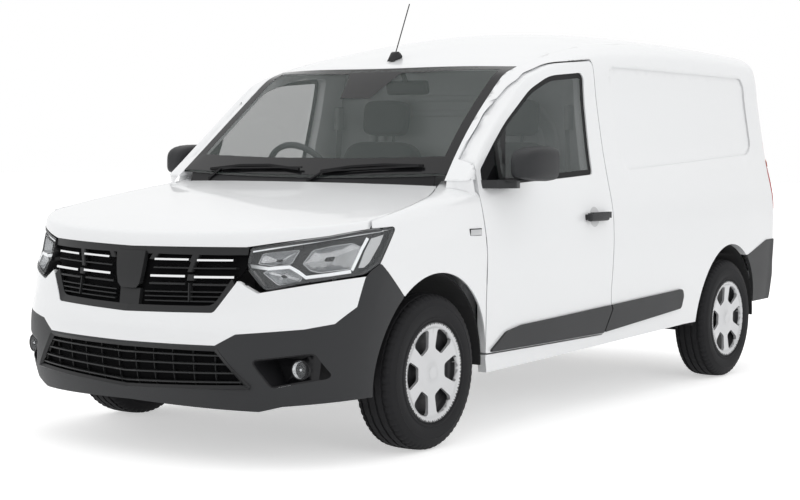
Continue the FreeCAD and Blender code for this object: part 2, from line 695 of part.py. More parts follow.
def wing():
    """Left front wing with its arch."""
    rear = DOOR_FRONT - LEAD_GAP
    marks = [CORNER_START - 112] + spread(CORNER_START - 30, rear + 60, 10)
    shell = skin([wing_section(y) for y in marks]).extrude(V(-WING_THICK, 0, -WING_THICK))
    shell = shell.cut(arch_tool(FRONT_AXLE, 300, HALF + 60))
    keep = [(CORNER_START - 108, 1200), (WING_SEAM[0][0], 1200),
            (WING_SEAM[0][0], WING_SEAM[0][1] - CLEAR), (WING_SEAM[1][0], WING_SEAM[1][1] - CLEAR),
            (rear, 1050), (rear, 800), (rear + 13, 560), (rear + 45, 330), (rear + 45, SILL_FRONT_Z),
            (FRONT_AXLE + 250, SILL_FRONT_Z - 4), (FRONT_AXLE, 500)]
    keep += [(y + 0.4, z + 0.4) for y, z in NOSE_SEAM] + [(CORNER_START - 108, 770)]
    shell = shell.common(side_block(keep, HALF + 60, 400))
    edge = [(shut_x(y) + SHUT_GAP, y) for y in spread(NOSE + 380, NOSE + 1290, 10)]
    bonnet_zone = [(300, NOSE + 380)] + edge + [(300, NOSE + 1290)]
    shell = shell.cut(plan_block(bonnet_zone, 800, 1200)).cut(lamp_block(2))
    return max(shell.Solids, key=lambda piece: piece.Volume)


HEADER = SCREEN_FOOT + 598.0
HEADER_BOW = 158.0
SCREEN_BOW = 74.0
PANE_THICK = 7.0


def screen_loop(front_shift, rear_shift):
    """Plan of the windscreen between its bowed foot and header."""
    foot, head = SCREEN_FOOT + 5 + front_shift, HEADER + rear_shift
    bottom = Part.Arc(V(-760, foot + SCREEN_BOW, 900), V(0, foot, 900), V(760, foot + SCREEN_BOW, 900))
    top = Part.Arc(V(760, head + HEADER_BOW, 900), V(0, head, 900), V(-760, head + HEADER_BOW, 900))
    right = Part.LineSegment(V(760, foot + SCREEN_BOW, 900), V(760, head + HEADER_BOW, 900))
    left = Part.LineSegment(V(-760, head + HEADER_BOW, 900), V(-760, foot + SCREEN_BOW, 900))
    return Part.Face(Part.Wire([bottom.toShape(), right.toShape(), top.toShape(), left.toShape()]))


def screen_foot(x):
    """Station of the windscreen's lower edge."""
    return SCREEN_FOOT + 5 + SCREEN_BOW * (x / 760) ** 2


def windscreen():
    pane = top_face(SCREEN_FOOT, SCREEN_FOOT + 760, SEAT).extrude(V(0, 0, -PANE_THICK))
    return pane.common(screen_loop(0, 0).extrude(V(0, 0, 900)))


def roof():
    """Roof panel between the rails, from the windscreen's header to the tail."""
    panel = top_face(SCREEN_FOOT + 560, TAIL_SKIN, SEAT).extrude(V(0, 0, -ROOF_THICK))
    return panel.cut(screen_loop(-200, 3).extrude(V(0, 0, 1100)))


def inner_section(y, low):
    """Closed outline of the space between the walls and under the roof at one station."""
    inset = WALL + 2.5 * CLEAR
    reach = rail_x(y) - CLEAR
    wall = [p + V(-inset, 0, -inset) for p in flank_section(y)]
    left = [V(side_x(y, low + WALL) - inset, y, low)]
    for p, q in zip(wall, wall[1:]):
        if p.z > low + 5 and p.x > reach:
            left.append(p)
            if q.x <= reach:
                t = (p.x - reach) / (p.x - q.x)
                left.append(p + (q - p) * t)
    left += [top_point(reach * t, y, ROOF_THICK + CLEAR) for t in (1.0, 0.66, 0.33)]
    right = [V(-p.x, p.y, p.z) for p in reversed(left)]
    return Part.makePolygon(left + right + [left[0]])


def bulkhead():
    """Steel wall between the cab and the load space with a pressed panel."""
    wall = Part.Face(inner_section(BULKHEAD, FLOOR_Z)).extrude(V(0, BULKHEAD_THICK, 0))
    panel = [(-560, 780), (560, 780), (520, 1540), (-520, 1540)]
    return wall.cut(front_block(panel, BULKHEAD - 10, BULKHEAD + 5, 90))


def rear_door_outline():
    """Corners and radii of the doorway at the back."""
    half, top = REAR_DOOR_HALF, REAR_DOOR_TOP
    points = [(-half, REAR_DOOR_BOTTOM), (half, REAR_DOOR_BOTTOM), (half, 1100),
            (half - REAR_DOOR_LEAN, top), (REAR_DOOR_LEAN - half, top), (-half, 1100)]
    return points, [30, 30, 600, 70, 70, 600]


def rear_frame():
    """Ring round the rear doors with a lip that they close on."""
    y = TAIL_SKIN - 1
    deep = 60
    ring = Part.Face(inner_section(y, REAR_FRAME_LOW)).extrude(V(0, -deep, 0))
    points, radii = rear_door_outline()
    ring = ring.cut(front_block(points, TAIL_SKIN - REAR_DOOR_SINK, TAIL, radii, SHUT_GAP))
    ring = ring.cut(front_block(points, y - deep - 5, TAIL, radii, -40))
    back = TAIL_SKIN - 45
    high = BUMPER_SEAM[-1][1] + 2
    ring = ring.cut(box(-HALF, HALF, back, TAIL, 0, REAR_DOOR_BOTTOM - 4))
    for side in (-1, 1):
        near, far = sorted((side * 724, side * HALF))
        ring = ring.cut(box(near, far, back, TAIL, 0, high))
        near, far = sorted((side * 740, side * HALF))
        ring = ring.cut(box(near, far, TAIL_SKIN - 200, TAIL, 0, high))
    return ring.removeSplitter()


def rear_door(x0, x1):
    """One rear door between x0 and x1 with pressed panels; its outer edge carries the hinge pins."""
    y = TAIL_SKIN - REAR_DOOR_SINK + SHUT_GAP
    points, radii = rear_door_outline()
    slab = front_block(points, y, y + REAR_DOOR_THICK, radii)
    slab = slab.common(box(x0, x1, y - 5, y + 60, 400, 1800))
    middle = (x0 + x1) / 2
    half = abs(x1 - x0) / 2 - 90
    for low, high, lean in ((760, 1050, 0), (1120, 1600, 20)):
        press = [(middle - half, low), (middle + half, low), (middle + half - lean, high),
                 (middle - half + lean, high)]
        slab = slab.cut(front_block(press, y + REAR_DOOR_THICK - 6, y + 60, 45))
    side = 1 if x0 + x1 > 0 else -1
    face_y = y + REAR_DOOR_THICK
    low, high = REAR_HINGES
    for z, reach in ((low, 110), (high, 130)):
        near, far = sorted((side * (REAR_HINGE_X + 2), side * (REAR_HINGE_X - reach)))
        leaf = box(near, far, face_y - 0.5, face_y + 5, z + SEAT, z + 30)
        barrel = post(side * REAR_HINGE_X, REAR_HINGE_Y, z + SEAT, z + 30, 8)
        pin = post(side * REAR_HINGE_X, REAR_HINGE_Y, z - 26, z + 20, 4)
        slab = slab.fuse([leaf, barrel, pin])
    return slab.removeSplitter()


def floor():
    """Cab and load floor on two chassis rails, with brackets for the rear axle."""
    cab = [(floor_edge(y, FLOOR_Z - PLATE), y) for y in spread(FIREWALL, BULKHEAD - SEAT, 8)]
    cab += [(-x, y) for x, y in reversed(cab)]
    plate = plan_block(cab, FLOOR_Z - PLATE, FLOOR_Z - SEAT)
    wide = HALF + 60
    for side in (-1, 1):
        near, far = sorted((side * 484, side * wide))
        plate = plate.cut(disc(near, far, FRONT_AXLE, TYRE_RADIUS + ARCH_RISE, ARCH_RADIUS + SEAT))
    start = BULKHEAD + BULKHEAD_THICK + SEAT
    end = TAIL_SKIN - 61 - SEAT
    load = [(floor_edge(y, LOAD_Z - PLATE), y) for y in spread(start, end, 8)]
    load += [(-x, y) for x, y in reversed(load)]
    bed = plan_block(load, LOAD_Z - PLATE, LOAD_Z)
    for side in (-1, 1):
        near, far = sorted((side * (WHEELHOUSE - SEAT), side * wide))
        bed = bed.cut(disc(near, far, REAR_AXLE, TYRE_RADIUS + ARCH_RISE, ARCH_RADIUS + SEAT))
        for y in LASHING_Y:
            bed = bed.cut(post(side * LASHING_X, y, LOAD_Z - PLATE - 1, LOAD_Z + 1, LASHING_HOLE))
    pieces = [bed]
    for side in (-1, 1):
        near, far = sorted((side * 400, side * 460))
        pieces.append(box(near, far, FIREWALL, start + 80, 262, FLOOR_Z - PLATE + 1))
        pieces.append(box(near, far, start, start + 80, 262, LOAD_Z - PLATE + 1))
        pieces.append(box(near, far, start, end, 478, LOAD_Z - PLATE + 1))
        near, far = sorted((side * 566, side * 634))
        pieces.append(box(near, far, REAR_AXLE - 475, REAR_AXLE - 415, ARM_TOP + SEAT, LOAD_Z - PLATE + 1))
    pieces.append(box(-430, 430, REAR_AXLE + 190, REAR_AXLE + 230, 478, LOAD_Z - PLATE + 1))
    pieces.append(box(-430, 430, 640, 690, 478, LOAD_Z - PLATE + 1))
    return plate.fuse(pieces)


def fuel_tank():
    """Plastic tank hung from the load floor between the chassis rails."""
    tank = side_block([(300, 290), (860, 270), (880, 330), (860, 470), (300, 470), (280, 380)], -380, 60,
                      [40, 40, 30, 40, 40, 30])
    return tank.fuse(box(-300, -20, 645, 685, 460, 478 - SEAT)).removeSplitter()


def firewall():
    """Dash panel with the hinge posts, the front doors' hinge eyes and brackets for the wings."""
    thick = 12
    panel = box(-735, 735, FIREWALL, FIREWALL + thick, FLOOR_Z, 1000)
    arch = disc(484, HALF + 60, FRONT_AXLE, TYRE_RADIUS + ARCH_RISE, ARCH_RADIUS + SEAT)
    left = box(730, 778, FIREWALL, HINGE_Y + 14, FLOOR_Z, 850)
    left = left.fuse(box(730, 750, FIREWALL, HINGE_Y + 14, 840, 1010))
    left = left.fuse(box(770, side_x(DOOR_FRONT - 30, 640) - WING_THICK - CLEAR, DOOR_FRONT - 50,
                         DOOR_FRONT - 22, 640, 720))
    for z in DOOR_HINGES:
        arm = box(775, HINGE_X, HINGE_Y - 6, HINGE_Y + 6, z - HINGE_HALF + 2, z + HINGE_HALF - 2)
        eye = post(HINGE_X, HINGE_Y, z - HINGE_HALF + 2, z + HINGE_HALF - 2, HINGE_EYE)
        left = left.fuse([arm, eye]).cut(post(HINGE_X, HINGE_Y, z - 40, z + 40, HINGE_PIN + FIT))
    left = left.cut(arch)
    return panel.cut(both(arch)).fuse([left, mirrored(left)]).removeSplitter()


COWL_ROWS = (-672, -540, -300, -120, 60, 300, 540, 672)
WIPER_BASES = ((60, 590), (-540, 0))


def cowl_row(x):
    """Front, middle and rear points of the scuttle between the bonnet and the windscreen."""
    front = V(x, bonnet_rear(x) + 14, bonnet_z(x, bonnet_rear(x)) - 26)
    y = screen_foot(x) + 6
    rear = top_point(x, y, PANE_THICK + CLEAR)
    middle = (front + rear) * 0.5 - V(0, 0, 6)
    return [front, middle, rear]


def cowl():
    """Scuttle under the windscreen with the eyes of the bonnet's hinges."""
    tray = skin([cowl_row(x) for x in COWL_ROWS]).extrude(V(0, 0, -12))
    y, z = BONNET_HINGE_Y, BONNET_HINGE_Z
    for x in (-BONNET_HINGE_X, BONNET_HINGE_X):
        arm = box(x - 9, x + 9, y - 7, y + 7, z - 36, z)
        foot = box(x - 9, x + 9, y - 7, y + 40, z - 36, z - 22)
        eye = disc(x - 9, x + 9, y, z, 7.5)
        tray = tray.fuse([arm, foot, eye]).cut(disc(x - 20, x + 20, y, z, HINGE_PIN + FIT))
    return tray.removeSplitter()


def over_screen(x, behind, lift):
    """Point a little above the windscreen, measured from its lower edge."""
    y = screen_foot(x) + behind
    return top_point(x, y, -lift)


def wipers(tray, glass):
    """Two arms parked along the windscreen's foot, with their blades."""
    arms = []
    for base_x, tip_x in WIPER_BASES:
        base = cowl_row(base_x)[1] + V(0, 6, 0)
        root = base + V(0, 0, 12)
        knee = over_screen(base_x + 70, 4, 19)
        tip = over_screen(tip_x, 22, 19)
        arm = post(base.x, base.y, base.z - 20, base.z + 20, 10).fuse([strip(root, knee, 12, 7),
                strip(knee, tip, 9, 7)])
        arm = arm.cut(tray.translated(V(0, 0, SEAT))).cut(tray.translated(V(0, 0, -11)))
        arm = arm.cut(glass.translated(V(0, 0, SEAT))).cut(glass)
        arms.append(max(arm.Solids, key=lambda piece: piece.Volume))
    return Part.makeCompound(arms)


def dashboard():
    """Moulded dash across the cab with a binnacle in front of the driver."""
    front = FIREWALL + 12 + SEAT
    profile = [(front, 1001 + SEAT), (FIREWALL - 50, 1001 + SEAT), (FIREWALL - 50, 1014),
               (SCREEN_FOOT + 330, 1040),
               (SCREEN_FOOT + 390, 1000), (SCREEN_FOOT + 370, 860), (SCREEN_FOOT + 300,
                                                                     700), (SCREEN_FOOT + 150, 640),
               (front, 760)]
    dash = side_block(profile, -630, 630, [0, 3, 3, 60, 40, 60, 60, 30, 10])
    inner = side_block([(front, 1001 + SEAT)] + [(front, 1020)] + profile[3:], 600, 730 - SEAT,
            [0, 3, 60, 40, 60, 60, 30, 10])
    hood = [(SCREEN_FOOT + 180, 1026), (SCREEN_FOOT + 250, 1082), (SCREEN_FOOT + 382, 1062),
            (SCREEN_FOOT + 388, 1000)]
    binnacle = side_block(hood, DRIVER_X - 190, DRIVER_X + 190, [40, 40, 14, 4])
    return dash.fuse([inner, mirrored(inner), binnacle]).removeSplitter()


DRIVER_X = -375.0
WHEEL_GRIP = 15.0
WHEEL_SIZE = 185.0
WHEEL_RAKE = 26.0


def steering_wheel(dash):
    """Rim, three spokes, boss and column, raked back; the column ends at the dash."""
    grip, size = WHEEL_GRIP, WHEEL_SIZE
    section = [V(size + grip * math.cos(math.radians(a)), 0,
                 grip * math.sin(math.radians(a))) for a in range(30, 391, 60)]
    wheel = Part.Face(Part.makePolygon(section)).revolve(V(0, 0, 0), V(0, 0, 1), 360)
    hub = Part.makeCylinder(58, 34, V(0, 0, -26))
    wheel = wheel.fuse(hub)
    for angle in (0, 180, 270):
        spoke = Part.makeBox(size - 30, 34, 14, V(20, -17, -9))
        spoke.rotate(V(0, 0, 0), V(0, 0, 1), angle)
        wheel = wheel.fuse(spoke)
    column = Part.makeCylinder(34, 190, V(0, 0, -216))
    wheel = wheel.fuse(column).removeSplitter()
    wheel.rotate(V(0, 0, 0), V(1, 0, 0), 90 - WHEEL_RAKE)
    wheel.rotate(V(0, 0, 0), V(0, 0, 1), 180)
    wheel.translate(V(DRIVER_X, SCREEN_FOOT + 500, 1045))
    for back, down in ((CLEAR, 0), (CLEAR, CLEAR), (0, CLEAR)):
        wheel = wheel.cut(dash.translated(V(0, back, -down)))
    return max(wheel.Solids, key=lambda piece: piece.Volume)


SEAT_WIDTH = 500.0
SEAT_FRONT = DOOR_FRONT + 430.0


def seat(x):
    """Cab seat: base, cushion, raked back and headrest."""
    y = SEAT_FRONT
    base = side_block([(y + 60, FLOOR_Z), (y + 470, FLOOR_Z), (y + 470, 560), (y + 60, 560)], x - 200,
                      x + 200, 20)
    cushion = side_block([(y, 560), (y + 500, 545), (y + 520, 690), (y + 20, 730)], x - 250, x + 250,
            [30, 30, 40, 60])
    back = side_block([(y + 430, 640), (y + 540, 640), (y + 640, 1230), (y + 540, 1240)], x - 240,
                      x + 240, [30, 30, 40, 40])
    head = side_block([(y + 555, 1262), (y + 635, 1262), (y + 650, 1440), (y + 580, 1445)], x - 130,
                      x + 130, 34)
    stem = box(x - 60, x - 45, y + 590, y + 605, 1200, 1300)
    stem2 = box(x + 45, x + 60, y + 590, y + 605, 1200, 1300)
    return base.fuse([cushion, back, head, stem, stem2]).removeSplitter()


def engine_block():
    return box(-360, 300, FRONT_AXLE - 440, FRONT_AXLE + 60, 246 + SEAT, 800)


KINGPIN_FOOT = V(HUB - 41, 0, 190)
KINGPIN_HEAD = V(HUB - 207, 0, 830)
TOWER_Z = 846.0


def kingpin_point(z):
    t = (z - KINGPIN_FOOT.z) / (KINGPIN_HEAD.z - KINGPIN_FOOT.z)
    return V(KINGPIN_FOOT.x + t * (KINGPIN_HEAD.x - KINGPIN_FOOT.x), FRONT_AXLE, z)


def front_subframe():
    """Cross member, lower arms with their pins, strut towers, side rails and the front panel."""
    z = 200
    frame = box(-380, 380, FRONT_AXLE - 20, FRONT_AXLE + 130, z, z + 46)
    along = kingpin_point(300) - kingpin_point(190)
    along.normalize()
    foot = kingpin_point(190)
    arm = plan_block([(340, FRONT_AXLE - 10), (340, FRONT_AXLE + 120), (foot.x + 6, FRONT_AXLE + 34),
                      (foot.x + 6, FRONT_AXLE - 34)], z, z + 24)
    pin = Part.makeCylinder(11, 62, foot + along * 8, along)
    tower_foot = kingpin_point(TOWER_Z)
    hole = Part.makeCylinder(12 + CLEAR, 60, tower_foot - along * 20, along)
    tower = Part.makeCylinder(86, 14, tower_foot, along)
    leg = box(426, 480, FRONT_AXLE - 60, FRONT_AXLE + 60, z + 30, TOWER_Z + 16)
    rail = box(400, 460, NOSE + 200, FIREWALL - SEAT, 430, 530)
    left = arm.fuse([pin, tower, leg, rail]).cut(hole)
    link = box(370, 432, FRONT_AXLE + 20, FRONT_AXLE + 60, z, z + 46)
    panel = box(-545, 545, NOSE + 200, NOSE + 214, 300, 640)
    return frame.fuse([left, mirrored(left), link, mirrored(link), panel]).removeSplitter()


STUB_RADIUS = 19.0
DISC_BACK = HUB + 18.0


def knuckle():
    """Left steering knuckle with its stub axle and the strut that turns with it."""
    along = kingpin_point(300) - kingpin_point(190)
    along.normalize()
    barrel = Part.makeCylinder(26, 435, kingpin_point(236), along)
    spring_seat = Part.makeCylinder(70, 10, kingpin_point(652), along)
    spring = Part.makeCylinder(58, 168, kingpin_point(660), along)
    rod = Part.makeCylinder(12, 225, kingpin_point(640), along)
    carrier = disc(kingpin_point(TYRE_RADIUS).x - 10, HUB + 10, FRONT_AXLE, TYRE_RADIUS, 48)
    stub = disc(HUB, DISC_BACK + 44, FRONT_AXLE, TYRE_RADIUS, STUB_RADIUS)
    solid = barrel.fuse([carrier, stub, spring_seat, spring, rod])
    bore = Part.makeCylinder(11 + FIT, 90, kingpin_point(190), along)
    return solid.cut(bore).removeSplitter()


def rear_axle():
    """Twist beam with trailing arms, stub axles and dampers up to the floor."""
    beam = box(-640, 640, REAR_AXLE - 190, REAR_AXLE - 110, 266, 330)
    outline = [(REAR_AXLE - 470, 290), (REAR_AXLE - 470, ARM_TOP), (REAR_AXLE - 190, 338),
               (REAR_AXLE + 60, ARM_TOP),
               (REAR_AXLE + 60, 262), (REAR_AXLE - 190, 250)]
    arm = side_block(outline, 560, 640, 12)
    carrier = disc(600, HUB + 8, REAR_AXLE, TYRE_RADIUS, 46)
    stub = disc(HUB, DISC_BACK + 44, REAR_AXLE, TYRE_RADIUS, STUB_RADIUS)
    damper = post(600, REAR_AXLE + 30, 330, LOAD_Z - PLATE - SEAT, 26)
    left = arm.fuse([carrier, stub, damper])
    return beam.fuse([left, mirrored(left)]).removeSplitter()


def exhaust():
    """Pipe under the floor to a silencer at the rear, with its hangers."""
    points = [V(120, FRONT_AXLE + 180, 236), V(120, 300, 236), V(90, REAR_AXLE - 320, 232),
            V(90, REAR_AXLE + 130, 236)]
    can = box(-240, 330, REAR_AXLE + 110, REAR_AXLE + 310, 226, 302)
    hangers = [box(100, 140, -200, -180, 250, FLOOR_Z - PLATE - SEAT)]
    hangers += [box(x, x + 12, REAR_AXLE + 200, REAR_AXLE + 214, 300, 478 - SEAT) for x in (-180, 260)]
    return tube(points, 25).fuse([can] + hangers).removeSplitter()


def tyre(x, y):
    """Tyre with rounded shoulders, by one revolved section."""
    w = TYRE_WIDTH / 2
    r = RIM_RADIUS
    R = TYRE_RADIUS
    section = [(-w + 14, r - 6), (-w + 2, r + 12), (-w, r + 48), (-w + 6, R - 26), (-w + 20, R - 6),
               (-w + 40, R),
               (w - 40, R), (w - 20, R - 6), (w - 6, R - 26), (w, r + 48), (w - 2, r + 12), (w - 14, r - 6)]
    wire = Part.makePolygon([V(a, 0, b) for a, b in section] + [V(section[0][0], 0, section[0][1])])
    ring = Part.Face(wire).revolve(V(0, 0, 0), V(1, 0, 0), 360)
    return ring.translated(V(x, y, TYRE_RADIUS))


def wheel(x, y):
    """Steel wheel with its six-spoke cover, left side; mirrored for the right."""
    w = TYRE_WIDTH / 2
    r = RIM_RADIUS - 6 - SEAT
    outer = w - 14
    barrel = [(-outer, r), (outer, r), (outer + 6, r + 6), (outer + 10, r + 2), (outer + 6, r - 16),
              (outer - 40, r - 26), (-outer, r - 12)]
    ring = Part.Face(Part.makePolygon([V(a, 0, b) for a, b in barrel] + [V(barrel[0][0], 0, barrel[0][1])]))
    ring = ring.revolve(V(0, 0, 0), V(1, 0, 0), 360)
    plate = [(18, 0), (62, 0), (62, 62), (40, 84), (34, 120), (44, 160), (40, r - 20), (30, r - 20),
            (26, 150), (22, 110), (18, 70)]
    cover = [(58, 0), (83, 0), (83, 30), (79, 42), (76, 90), (80, 140), (84, r - 10), (76, r - 4),
            (66, r - 8), (68, 140), (64, 90), (58, 40)]
    shapes = []
    for outline in (plate, cover):
        face = Part.Face(Part.makePolygon([V(a, 0, b) for a, b in outline] + [V(outline[0][0], 0,
                outline[0][1])]))
        shapes.append(face.revolve(V(0, 0, 0), V(1, 0, 0), 360))
    holes = []
    for k in range(6):
        hole = block(rounded([V(50, -26, 92), V(50, 26, 92), V(50, 60, 166), V(50, 0, 182),
                V(50, -60, 166)], [18, 18, 16, 60, 16]), V(60, 0, 0))
        hole.rotate(V(0, 0, 0), V(1, 0, 0), 60 * k + 30)
        holes.append(hole)
    solid = ring.fuse([shapes[0], shapes[1].cut(Part.makeCompound(holes))])
    solid = solid.cut(disc(-10, 63, 0, 0, STUB_RADIUS + FIT)).removeSplitter()
    return solid.translated(V(x, y, TYRE_RADIUS))


def wheel_liner(axle, inner):
    """Half-round shell over the left wheel and the wall at its inner side."""
    z = TYRE_RADIUS + ARCH_RISE
    outer = ARCH_RADIUS - SEAT
    shell = disc(inner, HALF - 60, axle, z, outer).cut(disc(inner - 1, HALF, axle, z, outer - 6))
    shell = shell.cut(box(0, 1000, axle - 500, axle + 500, -100, 300))
    wall = disc(inner - 6, inner, axle, z, outer).cut(box(0, 1000, axle - 500, axle + 500, -100, 430))
    return shell, wall


def liners():
    shell, wall = wheel_liner(FRONT_AXLE, 490)
    axis = kingpin_point(700) - kingpin_point(600)
    front = shell.cut(Part.makeCylinder(80, 400, kingpin_point(600), axis))
    front = front.cut(box(395, 500, FRONT_AXLE - 100, FRONT_AXLE + 100, 300, 1000))
    shell, wall = wheel_liner(REAR_AXLE, WHEELHOUSE + 6)
    return Part.makeCompound([both(front), both(shell.fuse(wall).removeSplitter())])


def tail_point(angle, z, sink):
    """Point round the bumper's left corner, in plan from the side to the tail."""
    start = TAIL - TAIL_CORNER
    t = math.radians(angle)
    half = side_x(start, z) + BUMPER_PROUD
    return V(half * math.sin(t) ** 0.5, start + (TAIL_CORNER - sink) * max(math.cos(t), 0) ** 0.5, z)


def rear_bumper():
    """Dark bumper round the tail with raised corners."""
    rows = []
    for z, sink in ((368, 30), (400, 8), (450, 0), (530, 0), (575, 28), (640, 34), (730, 40)):
        row = [tail_point(angle, z, sink) for angle in (0, 12, 26, 40, 52, 62, 71, 79, 85, 90)]
        row += [V(side_x(y, z) + BUMPER_PROUD, y, z) for y in (TAIL - 170, TAIL - 300, TAIL - 470)]
        rows.append(row)
    slab = skin(rows).extrude(V(-18, -18, 0)).common(box(0, HALF + 50, REAR_AXLE, TAIL + 40, 360, 800))
    side = [(REAR_AXLE + 150, 374), (TAIL + 40, 374), (TAIL + 40, BUMPER_SEAM[-1][1] + 2)]
    side += [(y, z - 0.4) for y, z in reversed(BUMPER_SEAM)]
    slab = slab.common(side_block(side, HALF + 60, -60))
    step = REAR_DOOR_BOTTOM - SHUT_GAP
    slab = slab.cut(front_block([(-60, step), (728, step), (752, 900), (-60, 900)], TAIL - 190, TAIL + 60))
    slab = slab.cut(arch_tool(REAR_AXLE, 300, HALF + 60))
    return whole(max(slab.Solids, key=lambda piece: piece.Volume))


TAIL_CORNER = 85.0
BUMPER_PROUD = 4.0
LAMP_LOW = 868.0
LAMP_HIGH = 1252.0


def tail_lamp():
    """Tall lamp let into the left rear corner."""
    rows = []
    for z in spread(LAMP_LOW - 20, LAMP_HIGH + 20, 4):
        rows.append([V(side_x(TAIL_SKIN - 90, z) + 1, TAIL_SKIN - 90, z),
                V(side_x(TAIL_SKIN - 55, z) + 1.5, TAIL_SKIN - 55, z),
                V(side_x(TAIL_SKIN - 28, z) + 2, TAIL_SKIN - 28, z),
                V(side_x(TAIL_SKIN - 8, z) + 2, TAIL_SKIN - 8, z),
                V(side_x(TAIL_SKIN, z) - 8, TAIL_SKIN + 2, z)])
    return skin(rows).extrude(V(-20, -12, 0)).common(lamp_zone(-0.2))


def lamp_zone(grow):
    g = grow
    points = [(TAIL_SKIN - 52 - g, LAMP_HIGH + g), (TAIL_SKIN + 30, LAMP_HIGH + g),
            (TAIL_SKIN + 30, LAMP_LOW - g), (TAIL_SKIN - 22 - g, LAMP_LOW - g)]
    return side_block(points, HALF + 60, 600)


MIRROR_LOW = 1062.0
MIRROR_HIGH = 1211.0
MIRROR_BACK = DOOR_FRONT + 316.0


ROOF_DIP = 1.1


def antenna():
    """Fin on the roof with a raked whip."""
    y = SCREEN_FOOT + 722
    z = top_point(0, y).z
    base = side_block([(y - 40, z - 8), (y + 46, z + 14), (y + 20, z + 34), (y + 4, z + 40),
                       (y - 8, z + 34)], -17, 17, [0, 8, 10, 6, 10])
    base = base.cut(top_face(SCREEN_FOOT + 640, SCREEN_FOOT + 900, 300).extrude(V(0, 0, -120)))
    whip = tube([V(0, y + 4, z + 30), V(0, y + 116, z + 270)], 2.6)
    return base.fuse(whip).translated(V(0, 0, -ROOF_DIP))


def mirror_unit(door, pane):
    """Left door mirror: sail panel in the window's corner, base on the belt line and housing."""
    points, radii = window_outline(SEAT)
    sail = FLANK.translated(V(-2, 0, -1)).extrude(V(-12, 0, -4))
    sail = sail.common(side_block(points, HALF + 60, 400, radii))
    sail = sail.common(box(400, HALF + 60, DOOR_FRONT - 60, SAIL_REAR, 900, 1700))
    base = plan_block([(815, DOOR_FRONT + 20), (815, DOOR_FRONT + 215), (900, DOOR_FRONT + 225),
            (920, DOOR_FRONT + 160), (890, DOOR_FRONT + 70)], MIRROR_LOW - 28, MIRROR_LOW + 6,
            [10, 10, 20, 40, 60])
    plan = [(892, MIRROR_BACK), (1030, MIRROR_BACK), (1040, MIRROR_BACK - 34), (1010, MIRROR_BACK - 120),
            (950, MIRROR_BACK - 195), (898, MIRROR_BACK - 240)]
    housing = plan_block(plan, MIRROR_LOW, MIRROR_HIGH, [12, 14, 30, 90, 90, 40])
    front = [(880, MIRROR_LOW), (1010, MIRROR_LOW + 6), (1042, MIRROR_LOW + 50), (1036, MIRROR_HIGH - 30),
             (990, MIRROR_HIGH), (890, MIRROR_HIGH - 6)]
    housing = housing.common(front_block(front, MIRROR_BACK - 300, MIRROR_BACK + 20,
                                         [30, 40, 60, 40, 60, 30]))
    unit = sail.fuse([base, housing]).cut(door.translated(V(SEAT, 0, 0)))
    unit = unit.cut(pane).cut(pane.translated(V(SEAT, 0, 0)))
    return max(unit.Solids, key=lambda piece: piece.Volume)


def door_fittings(face):
    """Left door's pull handle and lower moulding."""
    x = side_x(DOOR_REAR - 150, 902)
    bar = box(x + 14, x + 32, DOOR_REAR - 240, DOOR_REAR - 70, 888, 916)
    for y in (DOOR_REAR - 236, DOOR_REAR - 96):
        bar = bar.fuse(box(x - 6, x + 16, y, y + 22, 892, 912))
    bar = bar.cut(face.translated(V(SEAT, 0, 0)).extrude(V(-60, 0, 0))).removeSplitter()
    return Part.makeCompound([bar, moulding(face, DOOR_STRIP, [6, 60, 60, 6, 4, 6])])


def moulding(face, points, radii):
    """Strip proud of the lower side skin."""
    strip = face.translated(V(SEAT, 0, 0)).extrude(V(11, 0, 0))
    return strip.common(side_block(points, HALF + 60, 700, radii))


DOOR_STRIP = ((DOOR_FRONT + 62, DOOR_BOTTOM + 4), (DOOR_FRONT + 180, 430), (DOOR_FRONT + 300, 449),
              (DOOR_REAR + 2, 478), (DOOR_REAR + 14, 458),
              (DOOR_REAR - 42, DOOR_BOTTOM + 4))
SIDE_STRIP = ((DOOR_REAR + 10, 478), (REAR_AXLE - 612, 506), (REAR_AXLE - 590, 470),
        (REAR_AXLE - 604, 408), (DOOR_REAR - 32, DOOR_BOTTOM + 6), (DOOR_REAR + 26, 460))

FLANK = flank_face()
NOSE_SKIN = nose_face()


